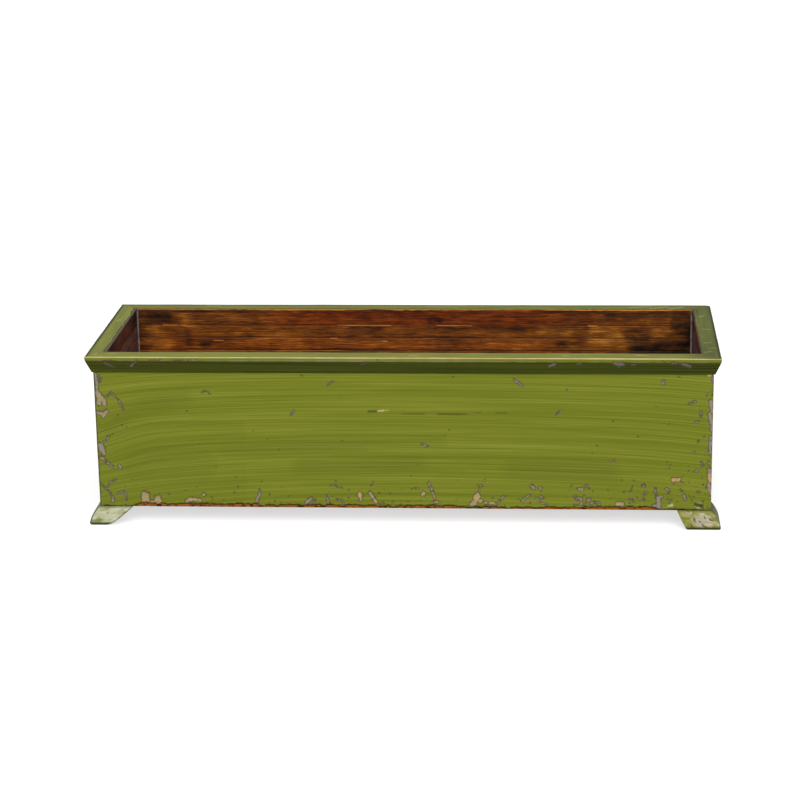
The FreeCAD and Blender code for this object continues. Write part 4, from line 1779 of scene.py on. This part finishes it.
@dataclass
class BracketFeet:
    """The four feet, each of two flared brackets mitred at the corner."""

    sizes: BoxSizes
    finishes: Finishes
    flare: float = 14.0
    flare_bulge: float = 0.72
    left_shoulder: float = 3.5
    right_shoulder: float = 1.0
    toe: float = 4.0
    length: float = 49.0
    thickness: float = 18.0
    left_rake: float = 33.0
    rake: float = 14.0
    step: float = 1.3
    depth_step: float = 2.4
    arris: float = 0.9
    arris_wear: float = 0.4
    arris_patch: float = 12.0
    mitre_arris: float = 0.25
    mitre_widens: float = 0.4
    left_heel_round: float = 9.0
    heel_round: float = 1.2
    heel_round_height: float = 2.2
    inner_slope: float = 0.4
    ragged: Pairs = ((2.2, 5.0),)
    least_shift: tuple[float, float] = (-16.0, -6.0)
    most_shift: tuple[float, float] = (14.0, 8.0)
    first_seed: int = 21
    seed_step: float = 3.3
    # The pale foot: its rubbing, with painted highlight streaks, the green that still shows, and its nail
    pale_tone: float = 0.12
    pale_rub: float = 0.73
    highlight_streaks: float = 0.26
    pale_patch: Triple = (16.0, 3.0, 9.0)
    green_shows: Onset = Onset(0.4, -2.5, 2.0)
    green_dirt: Onset = Onset(0.2, -1.0, 2.5)
    nail_dirt: Onset = Onset(0.8, -0.6, 0.6)
    # Painted shade where the feet meet the wall: the pale foot, then the others
    pale_joint_shade: Onset = Onset(0.5, 2.4, 0.8)
    joint_shade: Onset = Onset(0.3, 2.4, 0.8)
    # The worn feet: streaks, rubbed and pink places, and flakes
    streak: Onset = Onset(0.8, -2.4, 2.0)
    rubbing: Onset = Onset(1.0, -4.0, 3.0)
    rub_share: float = 0.8
    rub_tint: float = 0.35
    pink_tint: Onset = Onset(0.35, -1.6, 1.6)
    worn_tone: float = 0.85
    worn_rub: float = 0.16
    worn_mottle: float = 0.3
    worn_patch: Triple = (5.0, 4.0, 7.0)
    flake_tone: float = 0.42
    # Painted shade on the right returns, and along the floor, the mitres and the heels
    return_shade: float = 0.72
    floor_shade: Onset = Onset(0.97, 6.0, 3.8)
    mitre_shade: Onset = Onset(0.9, 3.0, 1.2)
    heel_shade: Onset = Onset(0.85, 3.6, 1.4)
    pictured: tuple[str, ...] = ("front_left_foot_face", "front_right_foot_face")

    def build(self) -> list[Object]:
        """Make all eight brackets.

        Returns:
            The brackets.
        """
        pieces = []
        corners = {
            Side.FRONT: self.pictured,
            Side.RIGHT: ("front_right_foot_return", "back_right_foot_return"),
            Side.BACK: ("back_right_foot_face", "back_left_foot_face"),
            Side.LEFT: ("back_left_foot_return", "front_left_foot_return"),
        }
        for side, names in corners.items():
            for at_right, name in enumerate(names):
                pieces.append(self.bracket(side, bool(at_right), name, self.first_seed + len(pieces)))
        return pieces

    def outline(self, z: np.ndarray, shoulder: float) -> np.ndarray:
        """Section of a bracket's flare, with its rounded toe.

        Args:
            z: Heights above the floor.
            shoulder: How far the outer face stands out from the wall at the top.

        Returns:
            How far it stands out at each height.
        """
        fall = np.clip((self.sizes.wall_low - z) / (self.sizes.wall_low - self.toe), 0, 1)
        bulge = (1 + self.flare_bulge) * fall - self.flare_bulge * fall**2
        flared = shoulder + (self.flare - shoulder) * bulge
        under = np.clip(self.toe - z, 0, self.toe)
        return flared - self.toe + np.sqrt(self.toe**2 - under**2)

    def bracket(self, side: Side, at_right: bool, name: str, seed: int) -> Object:
        """Make one bracket.

        Args:
            side: Which side of the box it stands under.
            at_right: Whether it is at the right end of that side, seen from outside.
            name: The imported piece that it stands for.
            seed: Seed of its wear.

        Returns:
            The bracket's object.
        """
        height = self.sizes.wall_low
        raked_long = side.is_long and "left" in name
        rake = self.left_rake if raked_long else self.rake
        heel_round = self.left_heel_round if raked_long else self.heel_round
        through = spread(self.thickness, self.depth_step)
        shell = Shell(spread(self.length, self.step), through, spread(height, self.step))
        noise = Wander(seed)
        inward = self.length - shell.base[:, 0] if at_right else shell.base[:, 0]
        worn = self.arris + self.arris_wear * noise(shell.base, self.arris_patch)
        radius = np.minimum(worn, self.mitre_arris + self.mitre_widens * inward)
        points, outward = shell.rounded(radius)
        z = points[:, 2]
        shoulder = self.left_shoulder if "left" in name else self.right_shoulder
        out = points[:, 1] / self.thickness * (self.thickness + self.outline(z, shoulder)) - self.thickness
        heel = self.length - rake * (1 - z / height) - heel_round * np.exp(-z / self.heel_round_height)
        share = points[:, 0] / self.length
        share = 1 - share if at_right else share
        from_corner = -out + share * (heel + out)
        span = self.sizes.half_span(side)
        s = span - from_corner if at_right else from_corner - span
        world = side.place(s, self.sizes.reach(side) + out, z)
        inside = outward[:, 1] < -self.inner_slope
        wear = self.wear(name, from_corner + out, heel - from_corner, out, z, noise, seed)
        finishes = [self.finishes.paint, self.finishes.stain]
        piece = make_piece(name + "_bracket", world, shell.faces, finishes, wear, inside)
        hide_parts(name)
        return piece

    def wear(
        self,
        name: str,
        from_mitre: np.ndarray,
        to_heel: np.ndarray,
        out: np.ndarray,
        z: np.ndarray,
        noise: Wander,
        seed: int,
    ) -> Wear:
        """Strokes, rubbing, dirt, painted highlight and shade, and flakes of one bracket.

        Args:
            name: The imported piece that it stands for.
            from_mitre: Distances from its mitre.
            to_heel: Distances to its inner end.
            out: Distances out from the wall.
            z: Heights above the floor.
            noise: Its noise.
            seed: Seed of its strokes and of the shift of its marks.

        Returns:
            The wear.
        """
        wear = Wear.fresh(from_mitre, z + out, seed * self.seed_step)
        flat = np.column_stack([from_mitre, z, np.zeros(len(z))])
        shift = np.random.default_rng(seed).uniform(self.least_shift, self.most_shift)
        u_shift, z_shift = (0.0, 0.0) if name in self.pictured else shift
        pull_u, pull_z = torn(flat, noise, self.ragged)
        u_torn, z_torn = from_mitre + u_shift + pull_u, z + z_shift + pull_z
        from_top = self.sizes.wall_low - z
        if name.startswith("front_left"):
            greens = deepest(PALE_FOOT_GREENS, u_torn, z_torn)
            wear.tone[:] = self.pale_tone
            # Rubbed pale, with painted highlight streaks
            wear.rub = self.pale_rub + self.highlight_streaks * noise(flat, self.pale_patch)
            wear.rub -= self.green_shows.at(greens)
            # Painted shade where the foot meets the wall
            wear.darken(self.pale_joint_shade.at(from_top))
            wear.darken(self.nail_dirt.at(deepest(PALE_FOOT_NAIL, from_mitre, z)))
            wear.darken(self.green_dirt.at(greens))
        else:
            streaked = self.streak.at(deepest(FOOT_STREAKS, u_torn, z_torn))
            rubbed = self.rubbing.at(deepest(FOOT_RUBS, u_torn, z_torn))
            pinkish = self.pink_tint.at(deepest(FOOT_PINK, u_torn, z_torn))
            tone = self.worn_tone - self.rub_tint * rubbed + pinkish - streaked
            wear.tone = tone.clip(0, 1)
            wear.rub = self.worn_rub + self.worn_mottle * noise(flat, self.worn_patch)
            wear.pale(self.rub_share * rubbed)
            wear.pale(streaked)
            wear.chip(deepest(FOOT_FLAKES, u_torn, z_torn), self.flake_tone)
            # Painted shade where the foot meets the wall
            wear.darken(self.joint_shade.at(from_top))
        # Painted shade on the right returns, which face aside, and along the floor, the left mitres and the
        # left heels
        if "right_foot_return" in name:
            wear.darken(np.full(len(z), self.return_shade))
        wear.darken(self.floor_shade.at(z))
        if "left" in name:
            wear.darken(self.mitre_shade.at(from_mitre))
            wear.darken(self.heel_shade.at(to_heel))
        wear.rub = wear.rub.clip(0, 1)
        return wear


@dataclass
class CornerBeads:
    """Sealant wiped up the four inner corners, a hollow fillet of uneven width."""

    sizes: BoxSizes
    finishes: Finishes
    left_leg: float = 2.4
    right_leg: float = 3.2
    leg_wander: float = 0.5
    leg_loss: float = 0.6
    wander_size: float = 14.0
    wander_apart: float = 50.0
    seed: int = 31
    stop: float = 2.0
    step: float = 4.0
    hollow: float = 0.25
    arc_steps: int = 6

    def build(self) -> Object:
        """Make the four beads as one piece.

        Returns:
            The piece.
        """
        sizes = self.sizes
        highest = sizes.rim_top - self.stop
        levels = np.append(np.arange(sizes.slat_top, highest, self.step), highest)
        corner = np.array([sizes.half_length - sizes.wall, sizes.half_depth - sizes.wall])
        share = np.linspace(0, 1, self.arc_steps + 1)
        noise = Wander(self.seed)
        points, faces = [], []
        for side_x, side_y in itertools.product((-1, 1), (-1, 1)):
            first = len(points)
            count = self.arc_steps + 2
            for level in levels:
                spot = np.array([[side_x * self.wander_apart, side_y * self.wander_apart, level]])
                leg = self.left_leg if side_x < 0 else self.right_leg
                leg += self.leg_wander * (noise(spot, self.wander_size)[0] - self.leg_loss)
                dip = self.hollow * leg * np.sin(math.pi * share)
                face = np.column_stack([leg * (1 - share) - dip, leg * share - dip]).clip(0)
                ring = np.vstack([[0, 0], face])[:: side_x * side_y]
                points += [(x, y, level) for x, y in (corner - ring) * (side_x, side_y)]
            for row, i in itertools.product(range(len(levels) - 1), range(count)):
                low, j = first + row * count, (i + 1) % count
                faces.append((low + i, low + j, low + count + j, low + count + i))
            top = first + (len(levels) - 1) * count
            faces += [tuple(range(first + count - 1, first - 1, -1)), tuple(range(top, top + count))]
        piece = make_piece("corner_sealant", np.array(points), faces, [self.finishes.sealant])
        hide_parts("corner_beads")
        return piece


@dataclass
class PackedPieces:
    """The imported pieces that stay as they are: bottom, glue blocks and fasteners."""

    nodes: dict[str, Object]
    finishes: Finishes

    def dress(self) -> list[Object]:
        """Give each its finish.

        Returns:
            The pieces that got one.
        """
        dressed = []
        for name, node in self.nodes.items():
            finish = self.finish_for(name)
            if finish is None:
                continue
            for slot in node.material_slots:
                slot.material = finish
            dressed.append(node)
        return dressed

    def finish_for(self, name: str) -> Material | None:
        """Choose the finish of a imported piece.

        Args:
            name: The piece's name.

        Returns:
            The finish, or None where a new mesh stands for the piece.
        """
        if name.startswith("bottom_slat"):
            return self.finishes.stain_along_y
        if name.startswith("cleat_") and not name.endswith("screws") or name.endswith("_block"):
            return self.finishes.stain_along_x
        if name.endswith(("nails", "brads", "screws")):
            return self.finishes.zinc
        return None


@dataclass(frozen=True)
class Studio:
    """White floor, a broad soft lamp above the camera's side and a pale surround."""

    floor_half: float = 30.0
    floor_code: str = "#c9c9c9"
    floor_bounce: float = 0.35
    floor_lift: float = 0.62
    lamp_height: float = 38.0
    lamp_turn: float = 6.0
    lamp_width: float = 55.0
    lamp_strength: float = 2.5
    surround: float = 0.46
    focal_px: float = 2366.0
    frame_px: float = 800.0
    sensor: float = 36.0
    yaw: float = -4.22
    pitch: float = 16.68
    roll: float = -0.95
    eye: tuple[float, float, float] = (0.2387, -3.3993, 1.1692)

    def build(self) -> None:
        """Make the floor, the lights and the camera."""
        self.floor()
        self.lights()
        self.camera()

    def camera_ray(self, tree: NodeTree) -> NodeSocket:
        """Tell sight from light.

        Args:
            tree: The node tree that asks.

        Returns:
            A share that is 1 where the eye, a mirror or a glass looks, and 0 for light on the object.
        """
        seen = add(tree, "LightPath", {}, 0)
        path = seen.node
        seen = add(tree, "Math", {0: seen, 1: path.outputs["Is Glossy Ray"]}, operation="MAXIMUM")
        return add(tree, "Math", {0: seen, 1: path.outputs["Is Transmission Ray"]}, operation="MAXIMUM")

    def floor(self) -> None:
        """Lay a floor that looks white and keeps the shadow, but throws little light back up."""
        half = self.floor_half
        mesh = bpy.data.meshes.new("studio_floor")
        corners = [(-half, -half, 0), (half, -half, 0), (half, half, 0), (-half, half, 0)]
        mesh.from_pydata(corners, [], [(0, 1, 2, 3)])
        floor = bpy.data.objects.new("studio_floor", mesh)
        bpy.context.collection.objects.link(floor)
        material = new_material("matt_white_studio_floor")
        tree = material.node_tree
        seen = self.camera_ray(tree)
        dim = (self.floor_bounce,) * 3 + (1.0,)
        colour = mix(tree, seen, dim, self.floor_code)
        diffuse = add(tree, "BsdfDiffuse", {"Color": colour})
        lift = times(tree, seen, self.floor_lift)
        glow = add(tree, "Emission", {"Strength": lift})
        shader = add(tree, "AddShader", {0: diffuse, 1: glow})
        add(tree, "OutputMaterial", {"Surface": shader})
        mesh.materials.append(material)

    def lights(self) -> None:
        """Hang the lamp and set the surround."""
        lamp = bpy.data.lights.new("soft_key", "SUN")
        lamp.energy = self.lamp_strength
        lamp.angle = math.radians(self.lamp_width)
        key = bpy.data.objects.new("soft_key", lamp)
        tilt = math.radians(90 - self.lamp_height)
        turn = Matrix.Rotation(math.radians(self.lamp_turn), 4, "Z")
        key.matrix_world = turn @ Matrix.Rotation(tilt, 4, "X")
        bpy.context.collection.objects.link(key)
        world = bpy.data.worlds.new("pale_surround")
        world.use_nodes = True
        tree = world.node_tree
        tree.nodes.clear()
        seen = self.camera_ray(tree)
        strength = add(tree, "MapRange", {"Value": seen, "To Min": self.surround, "To Max": 1.0})
        background = add(tree, "Background", {"Strength": strength, "Color": (1.0, 1.0, 1.0, 1.0)})
        add(tree, "OutputWorld", {"Surface": background})
        bpy.context.scene.world = world

    def camera(self) -> None:
        """Set the camera where the photograph was taken from."""
        data = bpy.data.cameras.new("photo_camera")
        data.sensor_width = self.sensor
        data.lens = self.focal_px / self.frame_px * self.sensor
        yaw, pitch, roll = (math.radians(angle) for angle in (self.yaw, 90 + self.pitch, self.roll))
        view = Matrix.Rotation(roll, 3, "Z") @ Matrix.Rotation(pitch, 3, "X") @ Matrix.Rotation(yaw, 3, "Z")
        right, down, forward = view
        axes = Matrix((right, -down, -forward)).transposed()
        camera = bpy.data.objects.new("photo_camera", data)
        camera.matrix_world = Matrix.Translation(self.eye) @ axes.to_4x4()
        bpy.context.collection.objects.link(camera)
        bpy.context.scene.camera = camera


def main() -> None:
    """Build the planter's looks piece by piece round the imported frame."""
    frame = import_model()
    logging.basicConfig(level=logging.INFO, format="%(name)s: %(message)s")
    bpy.context.scene.view_settings.view_transform = "Standard"
    sizes = BoxSizes.from_frame()
    finishes = Finishes()
    pieces = BoxWalls(sizes, finishes).build()
    pieces += RimFrame(sizes, finishes).build()
    pieces += BracketFeet(sizes, finishes).build()
    pieces.append(CornerBeads(sizes, finishes).build())
    pieces += PackedPieces(frame["nodes"], finishes).dress()
    Studio().build()
    for piece in pieces:
        log.info("%s: %d faces", piece.name, len(piece.data.polygons))


if __name__ == "__main__":
    main()
